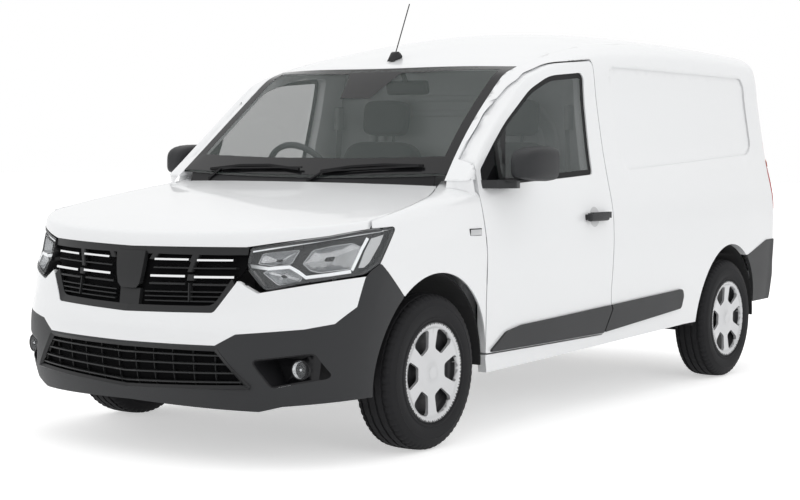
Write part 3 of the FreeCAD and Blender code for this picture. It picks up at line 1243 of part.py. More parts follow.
def build():
    """All nodes by name."""
    nodes = {}
    nodes["body_sides"] = both(body_side(FLANK))
    nodes["roof"] = roof()
    nodes["windscreen"] = windscreen()
    nodes["wings"] = both(wing())
    nodes["bonnet"] = bonnet()
    nodes["front_bumper"] = front_bumper(NOSE_SKIN)
    nodes["lower_bumper"] = lower_bumper(NOSE_SKIN)
    nodes["grille"] = grille(NOSE_SKIN)
    nodes["lower_grille"] = lower_grille(NOSE_SKIN)
    nodes["headlamps"] = both(headlamp(NOSE_SKIN))
    nodes["fog_lamps"] = both(fog_lamp(NOSE_SKIN))
    nodes["cowl"] = cowl()
    nodes["wipers"] = wipers(nodes["cowl"], nodes["windscreen"])
    nodes["dashboard"] = dashboard()
    nodes["steering_wheel"] = steering_wheel(nodes["dashboard"])
    nodes["seats"] = Part.makeCompound([seat(DRIVER_X), seat(-DRIVER_X)])
    nodes["bulkhead"] = bulkhead()
    nodes["firewall"] = firewall()
    nodes["floor"] = floor()
    nodes["fuel_tank"] = fuel_tank()
    nodes["engine_block"] = engine_block()
    nodes["front_subframe"] = front_subframe()
    nodes["rear_axle"] = rear_axle()
    nodes["exhaust"] = exhaust()
    nodes["wheel_liners"] = liners()
    nodes["rear_frame"] = rear_frame()
    nodes["rear_bumper"] = rear_bumper()
    nodes["tail_lamps"] = both(tail_lamp())
    nodes["antenna"] = antenna()
    nodes["side_strips"] = both(moulding(FLANK, SIDE_STRIP, [6, 30, 30, 24, 6, 4]))
    door = door_shell(FLANK)
    pane = door_glass(FLANK)
    left = {"door": door, "door_glass": pane, "mirror": mirror_unit(door, pane),
            "door_trim": door_fittings(FLANK)}
    for name, shape in left.items():
        nodes[name + "_left"] = shape
        nodes[name + "_right"] = mirrored(shape)
    nodes["rear_door_left"] = rear_door(REAR_DOOR_SPLIT + SHUT_GAP / 2, REAR_DOOR_HALF)
    nodes["rear_door_right"] = rear_door(-REAR_DOOR_HALF, REAR_DOOR_SPLIT - SHUT_GAP / 2)
    upright = knuckle()
    nodes["knuckle_left"] = upright
    nodes["knuckle_right"] = mirrored(upright)
    for place, y in (("front", FRONT_AXLE), ("rear", REAR_AXLE)):
        left_tyre = tyre(HUB, y)
        left_wheel = wheel(HUB, y)
        nodes["tyre_%s_left" % place] = left_tyre
        nodes["tyre_%s_right" % place] = mirrored(left_tyre)
        nodes["wheel_%s_left" % place] = left_wheel
        nodes["wheel_%s_right" % place] = mirrored(left_wheel)
    return nodes


os.makedirs("parts", exist_ok=True)
for name, shape in build().items():
    shape.exportStep("parts/%s.step" % name)
    print(name, shape.isValid(), len(shape.Solids), round(shape.Volume / 1e6, 2))
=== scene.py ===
"""White panel van: finishes, seals, lamps, tyres, wheels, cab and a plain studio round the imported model."""
import json
import logging
import math
from dataclasses import dataclass, field
from enum import Enum
from typing import Iterable, Optional, Sequence

import bmesh
import bpy
from mathutils import Matrix, Vector
from mathutils.bvhtree import BVHTree

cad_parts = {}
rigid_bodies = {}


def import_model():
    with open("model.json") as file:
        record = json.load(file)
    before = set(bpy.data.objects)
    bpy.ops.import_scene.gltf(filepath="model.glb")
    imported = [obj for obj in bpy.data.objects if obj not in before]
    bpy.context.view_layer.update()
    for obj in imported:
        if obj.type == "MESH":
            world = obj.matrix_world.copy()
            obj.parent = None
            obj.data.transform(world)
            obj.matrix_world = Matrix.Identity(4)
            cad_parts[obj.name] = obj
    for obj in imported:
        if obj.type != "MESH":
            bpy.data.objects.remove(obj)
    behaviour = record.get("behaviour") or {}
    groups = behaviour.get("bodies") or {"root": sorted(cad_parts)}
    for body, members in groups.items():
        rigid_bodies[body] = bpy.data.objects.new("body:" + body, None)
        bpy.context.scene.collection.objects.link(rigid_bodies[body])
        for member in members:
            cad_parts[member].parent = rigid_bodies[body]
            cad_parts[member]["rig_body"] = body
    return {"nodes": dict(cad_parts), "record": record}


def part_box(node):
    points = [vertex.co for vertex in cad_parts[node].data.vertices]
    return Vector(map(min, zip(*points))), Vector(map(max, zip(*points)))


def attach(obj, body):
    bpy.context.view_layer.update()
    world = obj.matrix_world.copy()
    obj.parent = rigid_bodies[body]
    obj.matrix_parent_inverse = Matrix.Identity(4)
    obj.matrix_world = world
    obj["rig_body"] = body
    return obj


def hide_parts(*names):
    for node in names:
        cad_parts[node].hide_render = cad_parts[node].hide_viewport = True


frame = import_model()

logging.basicConfig(level=logging.INFO, format="%(levelname)s %(message)s")
LOG = logging.getLogger("panel_van")
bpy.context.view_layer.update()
WELD = 2e-5
SHARP = math.radians(31)
FLAT = 1e-6
FEWEST_STEPS = 12
SIDES = (("left", 1), ("right", -1))
Pair = tuple[float, float]
Triple = tuple[float, float, float]
Pixel = Pair
Line = tuple[Pair, ...]
Bar = tuple[Pixel, Pixel, float]
Traced = tuple[Line, float]
Shape = bmesh.types.BMesh


def fill(node: bpy.types.Node, **values: object) -> None:
    """Set inputs of a shader node.

    Args:
        node: The node.
        values: Values by input name, with underscores for its spaces.
    """
    for name, value in values.items():
        node.inputs[name.replace("_", " ")].default_value = value


def placed(name: str, data: bpy.types.ID) -> bpy.types.Object:
    """Make an object and link it to the scene.

    Args:
        name: Its name.
        data: Its mesh, camera or light.

    Returns:
        The object.
    """
    obj = bpy.data.objects.new(name, data)
    bpy.context.scene.collection.objects.link(obj)
    return obj


class Grain(Enum):
    """How a finish's fine surface is patterned."""

    SMOOTH = "smooth"
    MOULDED = "moulded"
    CAST = "cast"
    WOVEN = "woven"
    BRUSHED = "brushed"
    RIBBED = "ribbed"


@dataclass(frozen=True)
class Finish:
    """One procedural finish, patterned on object coordinates."""

    name: str
    colour: Triple
    rough: float = 0.5
    metal: float = 0.0
    coat: float = 0.0
    alpha: float = 1.0
    glow: float = 0.0
    grain: Grain = Grain.SMOOTH
    size: float = 900.0
    bump: float = 0.0
    vary: float = 0.04
    sheen: float = 0.0
    specular: float = 0.5
    coat_rough: float = 0.04
    cloud_scale: float = 3.5
    cloud_detail: float = 5.0
    cloud_ends: tuple[float, float] = (0.3, 0.72)
    lift_share: float = 0.6
    wear: float = 0.12
    relief: float = 0.0006
    weave: float = 1.5
    detail: float = 4.0
    brushing: Triple = (1, 0.05, 1)

    def material(self) -> bpy.types.Material:
        """Return this finish's material, made on first use.

        Returns:
            The node material.
        """
        found = bpy.data.materials.get(self.name)
        if found:
            return found
        mat = bpy.data.materials.new(self.name)
        mat.use_nodes = True
        tree = mat.node_tree
        shader = tree.nodes["Principled BSDF"]
        fill(shader, Metallic=self.metal, Coat_Weight=self.coat, Coat_Roughness=self.coat_rough,
             Alpha=self.alpha, Specular_IOR_Level=self.specular, Sheen_Weight=self.sheen)
        if self.glow:
            fill(shader, Emission_Color=(*self.colour, 1), Emission_Strength=self.glow)
        place = tree.nodes.new("ShaderNodeTexCoord").outputs["Object"]
        self._colour(tree, shader, place)
        self._surface(tree, shader, place)
        mat.diffuse_color = (*self.colour, self.alpha)
        return mat

    def _colour(self, tree: bpy.types.NodeTree, shader: bpy.types.Node,
                place: bpy.types.NodeSocket) -> None:
        """Give the base colour and roughness a slight cloudy variation.

        Args:
            tree: The material's nodes.
            shader: Its Principled shader.
            place: Object coordinates.
        """
        cloud = tree.nodes.new("ShaderNodeTexNoise")
        fill(cloud, Scale=self.cloud_scale, Detail=self.cloud_detail)
        tree.links.new(place, cloud.inputs["Vector"])
        ramp = tree.nodes.new("ShaderNodeValToRGB")
        lifts = (1 - self.vary, 1 + self.vary * self.lift_share)
        for element, end, lift in zip(ramp.color_ramp.elements, self.cloud_ends, lifts):
            element.position = end
            element.color = (*(min(1.0, c * lift) for c in self.colour), 1)
        tree.links.new(cloud.outputs["Fac"], ramp.inputs["Fac"])
        tree.links.new(ramp.outputs["Color"], shader.inputs["Base Color"])
        worn = tree.nodes.new("ShaderNodeMapRange")
        fill(worn, To_Min=max(0.0, self.rough * (1 - self.wear)),
             To_Max=min(1.0, self.rough * (1 + self.wear)))
        tree.links.new(cloud.outputs["Fac"], worn.inputs["Value"])
        tree.links.new(worn.outputs["Result"], shader.inputs["Roughness"])

    def _surface(self, tree: bpy.types.NodeTree, shader: bpy.types.Node,
                 place: bpy.types.NodeSocket) -> None:
        """Add the fine grain as bump.

        Args:
            tree: The material's nodes.
            shader: Its Principled shader.
            place: Object coordinates.
        """
        if not self.bump:
            return
        if self.grain in (Grain.WOVEN, Grain.RIBBED):
            pattern, output = tree.nodes.new("ShaderNodeTexWave"), "Fac"
            fill(pattern, Distortion=self.weave if self.grain is Grain.WOVEN else 0.0)
        elif self.grain is Grain.MOULDED:
            pattern, output = tree.nodes.new("ShaderNodeTexVoronoi"), "Distance"
        else:
            pattern, output = tree.nodes.new("ShaderNodeTexNoise"), "Fac"
            fill(pattern, Detail=self.detail)
        fill(pattern, Scale=self.size)
        stretch = tree.nodes.new("ShaderNodeMapping")
        if self.grain is Grain.BRUSHED:
            fill(stretch, Scale=self.brushing)
        tree.links.new(place, stretch.inputs["Vector"])
        tree.links.new(stretch.outputs["Vector"], pattern.inputs["Vector"])
        bump = tree.nodes.new("ShaderNodeBump")
        fill(bump, Strength=self.bump, Distance=self.relief)
        tree.links.new(pattern.outputs[output], bump.inputs["Height"])
        tree.links.new(bump.outputs["Normal"], shader.inputs["Normal"])


WHITE = Finish("white_enamel", (0.84, 0.85, 0.86), 0.3, coat=0.5, vary=0.002)
# Painted shade: white paint darkened to stand in for the shade inside the hollow behind each door handle.
HOLLOW_SHADE_PAINT = Finish("white_enamel_painted_hollow_shade", (0.6, 0.605, 0.615), 0.35, coat=0.3, vary=0.01)
INNER = Finish("thin_inner_paint", (0.52, 0.53, 0.54), 0.5, vary=0.03, grain=Grain.CAST, size=300,
               bump=0.05)
PLASTIC = Finish("grained_dark_plastic", (0.034, 0.035, 0.037), 0.5, grain=Grain.MOULDED, size=1500,
                 bump=0.25, specular=0.22)
BEZEL = Finish("satin_black_moulding", (0.013, 0.013, 0.0145), 0.36, grain=Grain.CAST, size=600,
               bump=0.04, specular=0.22)
BLACK = Finish("gloss_black_moulding", (0.009, 0.009, 0.01), 0.16, specular=0.3)
RUBBER = Finish("window_rubber", (0.009, 0.009, 0.01), 0.6, grain=Grain.CAST, size=700, bump=0.1,
                specular=0.2)
TYRE = Finish("tyre_rubber_compound", (0.015, 0.015, 0.0165), 0.78, grain=Grain.CAST, size=520,
              bump=0.28, vary=0.14, specular=0.25)
SCREEN = Finish("screen_glass_tint", (0.13, 0.16, 0.15), 0.03, alpha=0.17, vary=0.01, specular=0.9)
GLASS = Finish("door_glass_tint", (0.05, 0.068, 0.065), 0.03, alpha=0.36, vary=0.01, specular=0.9)
CLEAR = Finish("clear_lens", (0.75, 0.78, 0.8), 0.03, alpha=0.05, vary=0.0, specular=0.35)
CHROME = Finish("bright_chrome", (0.86, 0.87, 0.88), 0.08, 1.0, vary=0.02)
FACET = Finish("lamp_reflector", (0.42, 0.43, 0.44), 0.2, 1.0, grain=Grain.RIBBED, size=11, bump=0.9,
               vary=0.5)
BLADE = Finish("white_light_guide", (0.86, 0.88, 0.9), 0.22, coat=0.5, vary=0.01, glow=0.12)
SMOKE = Finish("frosted_lens", (0.5, 0.51, 0.52), 0.16, coat=1.0, grain=Grain.RIBBED, size=60, bump=0.2)
SATIN = Finish("satin_grille_bars", (0.02, 0.0205, 0.0215), 0.36, grain=Grain.CAST, size=900,
               bump=0.06, specular=0.25)
# Painted shade: near-black sheets behind the grille and the intake stand in for the shade deep inside them.
PAINTED_SHADOW_BLACK = Finish("painted_shadow_black_inside", (0.004, 0.004, 0.0045), 0.9, specular=0.1)
RED = Finish("red_lens_plastic", (0.5, 0.012, 0.014), 0.09, coat=1.0, vary=0.05)
AMBER = Finish("amber_lens_plastic", (0.75, 0.22, 0.02), 0.1, coat=1.0)
SILVER = Finish("silver_wheel_paint", (0.6, 0.605, 0.615), 0.36, 0.4, coat=0.35, grain=Grain.CAST,
                size=1400, bump=0.03)
WHEEL_DARK = Finish("black_wheel_paint", (0.02, 0.02, 0.022), 0.5, grain=Grain.CAST, size=500, bump=0.08)
FABRIC = Finish("seat_weave", (0.05, 0.051, 0.055), 0.9, sheen=0.25, grain=Grain.WOVEN, size=260,
                bump=0.6, vary=0.12)
TRIM = Finish("cab_moulding", (0.07, 0.074, 0.078), 0.66, grain=Grain.MOULDED, size=900, bump=0.3)
WEB = Finish("belt_webbing", (0.3, 0.31, 0.31), 0.85, sheen=0.2, grain=Grain.WOVEN, size=500, bump=0.5)
IRON = Finish("cast_iron_skin", (0.075, 0.075, 0.078), 0.72, 0.4, grain=Grain.CAST, size=240, bump=0.5,
              vary=0.2)
STEEL = Finish("black_chassis_paint", (0.03, 0.03, 0.032), 0.5, grain=Grain.CAST, size=260, bump=0.15)
PIPE = Finish("dull_exhaust_steel", (0.3, 0.28, 0.26), 0.46, 0.9, grain=Grain.BRUSHED, size=500,
              bump=0.3, vary=0.2)
LINER = Finish("arch_liner_plastic", (0.014, 0.014, 0.015), 0.8, grain=Grain.CAST, size=200, bump=0.4)
MIRROR = Finish("mirror_silvering", (0.8, 0.82, 0.84), 0.02, 1.0, vary=0.0)
PLATE = Finish("plain_plate_holder", (0.06, 0.06, 0.063), 0.5, grain=Grain.MOULDED, size=900, bump=0.15)


@dataclass(frozen=True)
class Viewpoint:
    """The photograph's camera, and rays from it through points of an 800 by 500 picture."""

    place: Triple = (4.5105, -6.7805, 1.1774)
    azimuth: float = 35.0351
    down: float = 2.0
    roll: float = 0.4474
    lens: float = 74.98
    shift_y: float = -0.0484
    sensor: float = 36.0
    width: float = 800.0
    height: float = 500.0
    reach: float = 100.0

    def axes(self) -> tuple[Vector, Vector, Vector]:
        """Return the camera's directions.

        Returns:
            Its right, up and back.
        """
        turn, tip, roll = (math.radians(a) for a in (self.azimuth, self.down, self.roll))
        back = Vector((math.sin(turn) * math.cos(tip), -math.cos(turn) * math.cos(tip),
                       math.sin(tip)))
        right = (-back).cross(Vector((0, 0, 1))).normalized()
        up = right.cross(-back)
        return (right * math.cos(roll) + up * math.sin(roll),
                up * math.cos(roll) - right * math.sin(roll), back)

    def ray(self, pixel: Pixel) -> Vector:
        """Return the unit direction through a point of the picture.

        Args:
            pixel: Distances right and down in the 800 by 500 picture.

        Returns:
            The direction in the world.
        """
        right, up, back = self.axes()
        scale = self.sensor / self.lens / self.width
        across = (pixel[0] - self.width / 2) * scale
        rise = (self.height / 2 - pixel[1] + self.shift_y * self.width) * scale
        return (right * across + up * rise - back).normalized()

    def build(self) -> bpy.types.Object:
        """Make the camera and give it to the scene.

        Returns:
            The camera.
        """
        data = bpy.data.cameras.new("photo_camera")
        data.sensor_width, data.lens, data.shift_y = self.sensor, self.lens, self.shift_y
        data.clip_end = self.reach
        cam = placed("photo_camera", data)
        right, up, back = self.axes()
        turn = Matrix((right, up, back)).transposed().to_4x4()
        cam.matrix_world = Matrix.Translation(self.place) @ turn
        bpy.context.scene.camera = cam
        return cam


VIEW = Viewpoint()


class Surfaces:
    """Search trees of CAD nodes, to lay new pieces on them."""

    _trees: dict[tuple[str, ...], BVHTree] = {}
    short_of_middle: float = 1.2

    @classmethod
    def tree(cls, *nodes: str) -> BVHTree:
        """Return one search tree of the named nodes.

        Args:
            nodes: CAD node names.

        Returns:
            The tree over all their faces.
        """
        if nodes not in cls._trees:
            bm = bmesh.new()
            for name in nodes:
                bm.from_mesh(frame["nodes"][name].data)
            cls._trees[nodes] = BVHTree.FromBMesh(bm)
            bm.free()
        return cls._trees[nodes]

    @classmethod
    def seen(cls, pixel: Pixel, depth: float, *nodes: str) -> Vector:
        """Point on the nodes under a picture point, sunk by a depth.

        Args:
            pixel: The picture point.
            depth: Distance below the surface, against its normal.
            nodes: CAD nodes to look at.

        Returns:
            The point.
        """
        start, way = Vector(VIEW.place), VIEW.ray(pixel)
        beside = start + way * (start.length - cls.short_of_middle)
        return cls.drop(start, way, depth, *nodes, beside=beside)

    @classmethod
    def drop(cls, start: Vector, way: Vector, depth: float, *nodes: str,
             beside: Optional[Vector] = None) -> Vector:
        """Point where a line meets the nodes, sunk by a depth.

        Args:
            start: A point outside.
            way: Direction of the line.
            depth: Distance below the surface.
            nodes: CAD nodes to look at.
            beside: Where to look for the nearest point if the line misses, or else the start.

        Returns:
            The point.
        """
        hit, normal, _, _ = cls.tree(*nodes).ray_cast(start, way)
        if hit is None:
            hit, normal, _, _ = cls.tree(*nodes).find_nearest(start if beside is None else beside)
        if normal.dot(way) > 0:
            normal = -normal
        return hit - normal * depth


class Maker:
    """Turns bmeshes into finished pieces that ride on CAD bodies."""

    @staticmethod
    def piece(name: str, bm: Shape, finishes: Sequence[Finish], body: str, slot: str,
              sharp: float = SHARP, outward: bool = True) -> bpy.types.Object:
        """Make an object of a bmesh.

        Args:
            name: The piece's name.
            bm: Its shape, freed here.
            finishes: Finishes by material index.
            body: The CAD body it rides on.
            slot: The record's material slot; not used.
            sharp: Angle past which an edge shades sharp.
            outward: Whether to turn the faces outwards.

        Returns:
            The object.
        """
        if outward:
            bmesh.ops.remove_doubles(bm, verts=bm.verts, dist=FLAT)
            bmesh.ops.recalc_face_normals(bm, faces=bm.faces)
        mesh = bpy.data.meshes.new(name)
        bm.to_mesh(mesh)
        bm.free()
        mesh.shade_smooth()
        mesh.set_sharp_from_angle(angle=sharp)
        obj = placed(name, mesh)
        for finish in finishes:
            mesh.materials.append(finish.material())
        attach(obj, body)
        LOG.info("%s: %d faces", name, len(mesh.polygons))
        return obj

    @staticmethod
    def copy_of(node: str, tidy: float = 0.0) -> Shape:
        """Return a merged copy of a CAD node.

        Args:
            node: The CAD node.
            tidy: Angle in degrees below which flat neighbours are joined.

        Returns:
            The bmesh.
        """
        bm = bmesh.new()
        bm.from_mesh(frame["nodes"][node].data)
        for layer in list(bm.loops.layers.uv.values()):
            bm.loops.layers.uv.remove(layer)
        bmesh.ops.remove_doubles(bm, verts=bm.verts, dist=WELD)
        if tidy:
            bmesh.ops.dissolve_limit(bm, angle_limit=math.radians(tidy), verts=bm.verts,
                                     edges=bm.edges)
        return bm

    @staticmethod
    def body_of(node: str) -> str:
        """Return the CAD body that holds a node.

        Args:
            node: The CAD node.

        Returns:
            The body's name.
        """
        return frame["nodes"][node]["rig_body"]

    @staticmethod
    def chain(bm: Shape, points: Iterable[Vector], closed: bool) -> list[bmesh.types.BMEdge]:
        """Join points by edges.

        Args:
            bm: The bmesh to add to.
            points: The points in order.
            closed: Whether the last joins the first.

        Returns:
            The edges.
        """
        verts = [bm.verts.new(p) for p in points]
        pairs = list(zip(verts, verts[1:]))
        if closed:
            pairs.append((verts[-1], verts[0]))
        return [bm.edges.new(pair) for pair in pairs]

    @staticmethod
    def loft(rings: Sequence[Sequence[Vector]], closed: bool = True, caps: bool = False) -> Shape:
        """Bridge rings of points one to the next.

        Args:
            rings: Rings of as many points each.
            closed: Whether each ring is closed.
            caps: Whether to fill the first and last ring.

        Returns:
            The bmesh.
        """
        bm = bmesh.new()
        chains = [Maker.chain(bm, ring, closed) for ring in rings]
        for near, far in zip(chains, chains[1:]):
            bmesh.ops.bridge_loops(bm, edges=near + far)
        if caps:
            for ends in (chains[0], chains[-1]):
                bmesh.ops.edgeloop_fill(bm, edges=ends)
        return bm

    @staticmethod
    def thicken(bm: Shape, thickness: float) -> Shape:
        """Give an open sheet a wall.

        Args:
            bm: The sheet.
            thickness: Wall thickness.

        Returns:
            The same bmesh.
        """
        bmesh.ops.recalc_face_normals(bm, faces=bm.faces)
        bmesh.ops.solidify(bm, geom=bm.faces[:], thickness=thickness)
        return bm

    @staticmethod
    def loops(bm: Shape) -> list[list[Vector]]:
        """Return the boundary loops of a sheet as ordered points.

        Args:
            bm: The sheet.

        Returns:
            One list of points for each loop.
        """
        left = dict.fromkeys(e for e in bm.edges if e.is_boundary)
        found = []
        while left:
            edge = next(iter(left))
            left.pop(edge)
            start, here = edge.verts
            line = [start.co.copy()]
            while here is not start:
                line.append(here.co.copy())
                onward = next((e for e in here.link_edges if e in left), None)
                if onward is None:
                    break
                left.pop(onward)
                here = onward.other_vert(here)
            found.append(line)
        return found

    @staticmethod
    def band(bm: Shape, width: float, lift: float, wall: float, step: float = 0.009) -> Shape:
        """Lay a band of even width along the edges of a sheet, with its faces outwards.

        Args:
            bm: The sheet, freed here.
            width: Width of the band.
            lift: Height of the band above the sheet.
            wall: Thickness of the band.
            step: Spacing of its points.

        Returns:
            The band.
        """
        tree = BVHTree.FromBMesh(bm)
        lines = Maker.loops(bm)
        bm.free()
        rings = bmesh.new()
        for line in lines:
            spans = [(b - a).length for a, b in zip(line, line[1:] + line[:1])]
            total = sum(spans)
            count = max(FEWEST_STEPS, round(total / step))
            points, k, gone = [], 0, 0.0
            for j in range(count):
                want = total * j / count
                while gone + spans[k] < want:
                    gone += spans[k]
                    k += 1
                points.append(line[k].lerp(line[(k + 1) % len(line)], (want - gone) / spans[k]))
            rows: list[list[bmesh.types.BMVert]] = []
            for j, point in enumerate(points):
                normal = tree.find_nearest(point)[1]
                along = (points[(j + 1) % count] - points[j - 1]).normalized()
                aside = normal.cross(along) * width
                options = [tree.find_nearest(point + aside * sign) for sign in (1, -1)]
                reach = [(hit - point).length for hit, _, _, _ in options]
                hit, over, _, _ = options[0] if reach[0] > reach[1] else options[1]
                low = lift - wall
                places = (point + normal * lift, hit + over * lift, hit + over * low, point + normal * low)
                rows.append([rings.verts.new(place) for place in places])
            order = (0, 1, 2, 3, 0) if reach[0] > reach[1] else (0, 3, 2, 1, 0)
            for j, row in enumerate(rows):
                onward = rows[(j + 1) % count]
                for a, b in zip(order, order[1:]):
                    rings.faces.new((row[a], onward[a], onward[b], row[b]))
        return rings

    @staticmethod
    def flipped(bm: Shape) -> Shape:
        """Return the mirror image across the van's middle.

        Args:
            bm: The shape, kept as it is.

        Returns:
            The other side's shape.
        """
        other = bm.copy()
        bmesh.ops.scale(other, vec=(-1, 1, 1), verts=other.verts)
        bmesh.ops.reverse_faces(other, faces=other.faces)
        return other

    @staticmethod
    def join(*parts: Shape) -> Shape:
        """Gather shapes into one and free them.

        Args:
            parts: The shapes.

        Returns:
            The whole.
        """
        whole = bmesh.new()
        for part in parts:
            mesh = bpy.data.meshes.new("gather")
            part.to_mesh(mesh)
            part.free()
            whole.from_mesh(mesh)
            bpy.data.meshes.remove(mesh)
        return whole

    @staticmethod
    def mirrored(bm: Shape) -> Shape:
        """Join a shape with its mirror image and free it.

        Args:
            bm: The shape.

        Returns:
            Both sides in one.
        """
        return Maker.join(Maker.flipped(bm), bm)

    @staticmethod
    def block(size: Sequence[float], centre: Sequence[float], bevel: float = 0.0,
              segments: int = 3, turn: Optional[Matrix] = None) -> Shape:
        """Make a block with rounded edges.

        Args:
            size: Width, depth and height.
            centre: Its middle.
            bevel: Radius of its edges.
            segments: Steps of the rounding.
            turn: Rotation about its middle.

        Returns:
            The bmesh.
        """
        bm = bmesh.new()
        bmesh.ops.create_cube(bm, size=1)
        bmesh.ops.scale(bm, vec=size, verts=bm.verts)
        if bevel:
            bmesh.ops.bevel(bm, geom=bm.edges[:], offset=bevel, segments=segments, profile=0.5,
                            affect="EDGES", material=-1, offset_type="OFFSET")
        if turn:
            bmesh.ops.transform(bm, matrix=turn.to_4x4(), verts=bm.verts)
        bmesh.ops.translate(bm, vec=centre, verts=bm.verts)
        return bm

    @staticmethod
    def bar(a: Vector, b: Vector, width: float, height: float, up: Vector, bevel: float) -> Shape:
        """Make a rounded bar between two points.

        Args:
            a: One end.
            b: The other end.
            width: Size across.
            height: Size along up.
            up: Direction of its height.
            bevel: Edge radius.

        Returns:
            The bmesh.
        """
        way = (b - a).normalized()
        side = way.cross(up).normalized()
        turn = Matrix((way, side, side.cross(way))).transposed()
        return Maker.block(((b - a).length, width, height), (a + b) / 2, bevel, 2, turn)

    @staticmethod
    def turned(profile: Sequence[Pair], steps: int, centre: Vector, axis: Vector) -> Shape:
        """Spin a profile of (distance along, radius) about an axis.

        Args:
            profile: Points along the axis and out from it.
            steps: Steps round the axis.
            centre: Where the axis starts.
            axis: Its direction.

        Returns:
            The bmesh.
        """
        bm = bmesh.new()
        side = axis.orthogonal().normalized()
        Maker.chain(bm, [centre + axis * a + side * r for a, r in profile], False)
        bmesh.ops.spin(bm, geom=bm.verts[:] + bm.edges[:], cent=centre, axis=axis, angle=math.tau,
                       steps=steps, use_merge=True)
        bmesh.ops.remove_doubles(bm, verts=bm.verts, dist=FLAT)
        return bm


@dataclass
class Skins:
    """Merged, smoothly shaded copies of the CAD nodes, each with its finishes."""

    groups: tuple[tuple[Finish, str], ...] = (
        (WHITE, "roof wings bonnet front_bumper rear_frame body_sides door_left door_right "
                "rear_door_left rear_door_right"),
        (INNER, "bulkhead floor firewall"), (SCREEN, "windscreen"),
        (GLASS, "door_glass_left door_glass_right"),
        (PLASTIC, "lower_bumper rear_bumper side_strips door_trim_left door_trim_right"),
        (BEZEL, "cowl wipers antenna fog_lamps"), (TRIM, "dashboard steering_wheel"),
        (LINER, "wheel_liners fuel_tank"), (RED, "tail_lamps"), (IRON, "engine_block"),
        (STEEL, "front_subframe rear_axle"), (PIPE, "exhaust"), (IRON, "knuckle_left knuckle_right"))
    stubs: tuple[str, ...] = ("knuckle_left", "knuckle_right", "rear_axle")
    stub_radius: float = 0.019
    stub_room: float = 0.0004
    stub_start: float = 0.72
    stub_band: tuple[float, float] = (0.9, 1.02)

    def slim(self, bm: Shape) -> None:
        """Take a little off the stub axles, so that their facets turn freely in the hubs.

        Args:
            bm: Copy of a node with stub axles.
        """
        for corner in ("front_left", "rear_left"):
            low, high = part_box("tyre_" + corner)
            axle_y, axle_z = (low.y + high.y) / 2, (low.z + high.z) / 2
            near, far = (self.stub_radius * share for share in self.stub_band)
            for v in bm.verts:
                dy, dz = v.co.y - axle_y, v.co.z - axle_z
                away = math.hypot(dy, dz)
                if abs(v.co.x) > self.stub_start and near < away < far:
                    share = (self.stub_radius - self.stub_room) / away
                    v.co.y, v.co.z = axle_y + dy * share, axle_z + dz * share

    def build(self) -> None:
        """Replace each listed node by its smooth copy."""
        slots = {s["node"]: s["material_slot"] for s in frame["record"]["subparts"]}
        for finish, names in self.groups:
            for node in names.split():
                bm = Maker.copy_of(node)
                if node in self.stubs:
                    self.slim(bm)
                piece = Maker.piece(node + "_skin", bm, [finish], Maker.body_of(node), slots[node],
                                    outward=False)
                weight = piece.modifiers.new("even_shading", "WEIGHTED_NORMAL")
                weight.keep_sharp = True
                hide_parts(node)


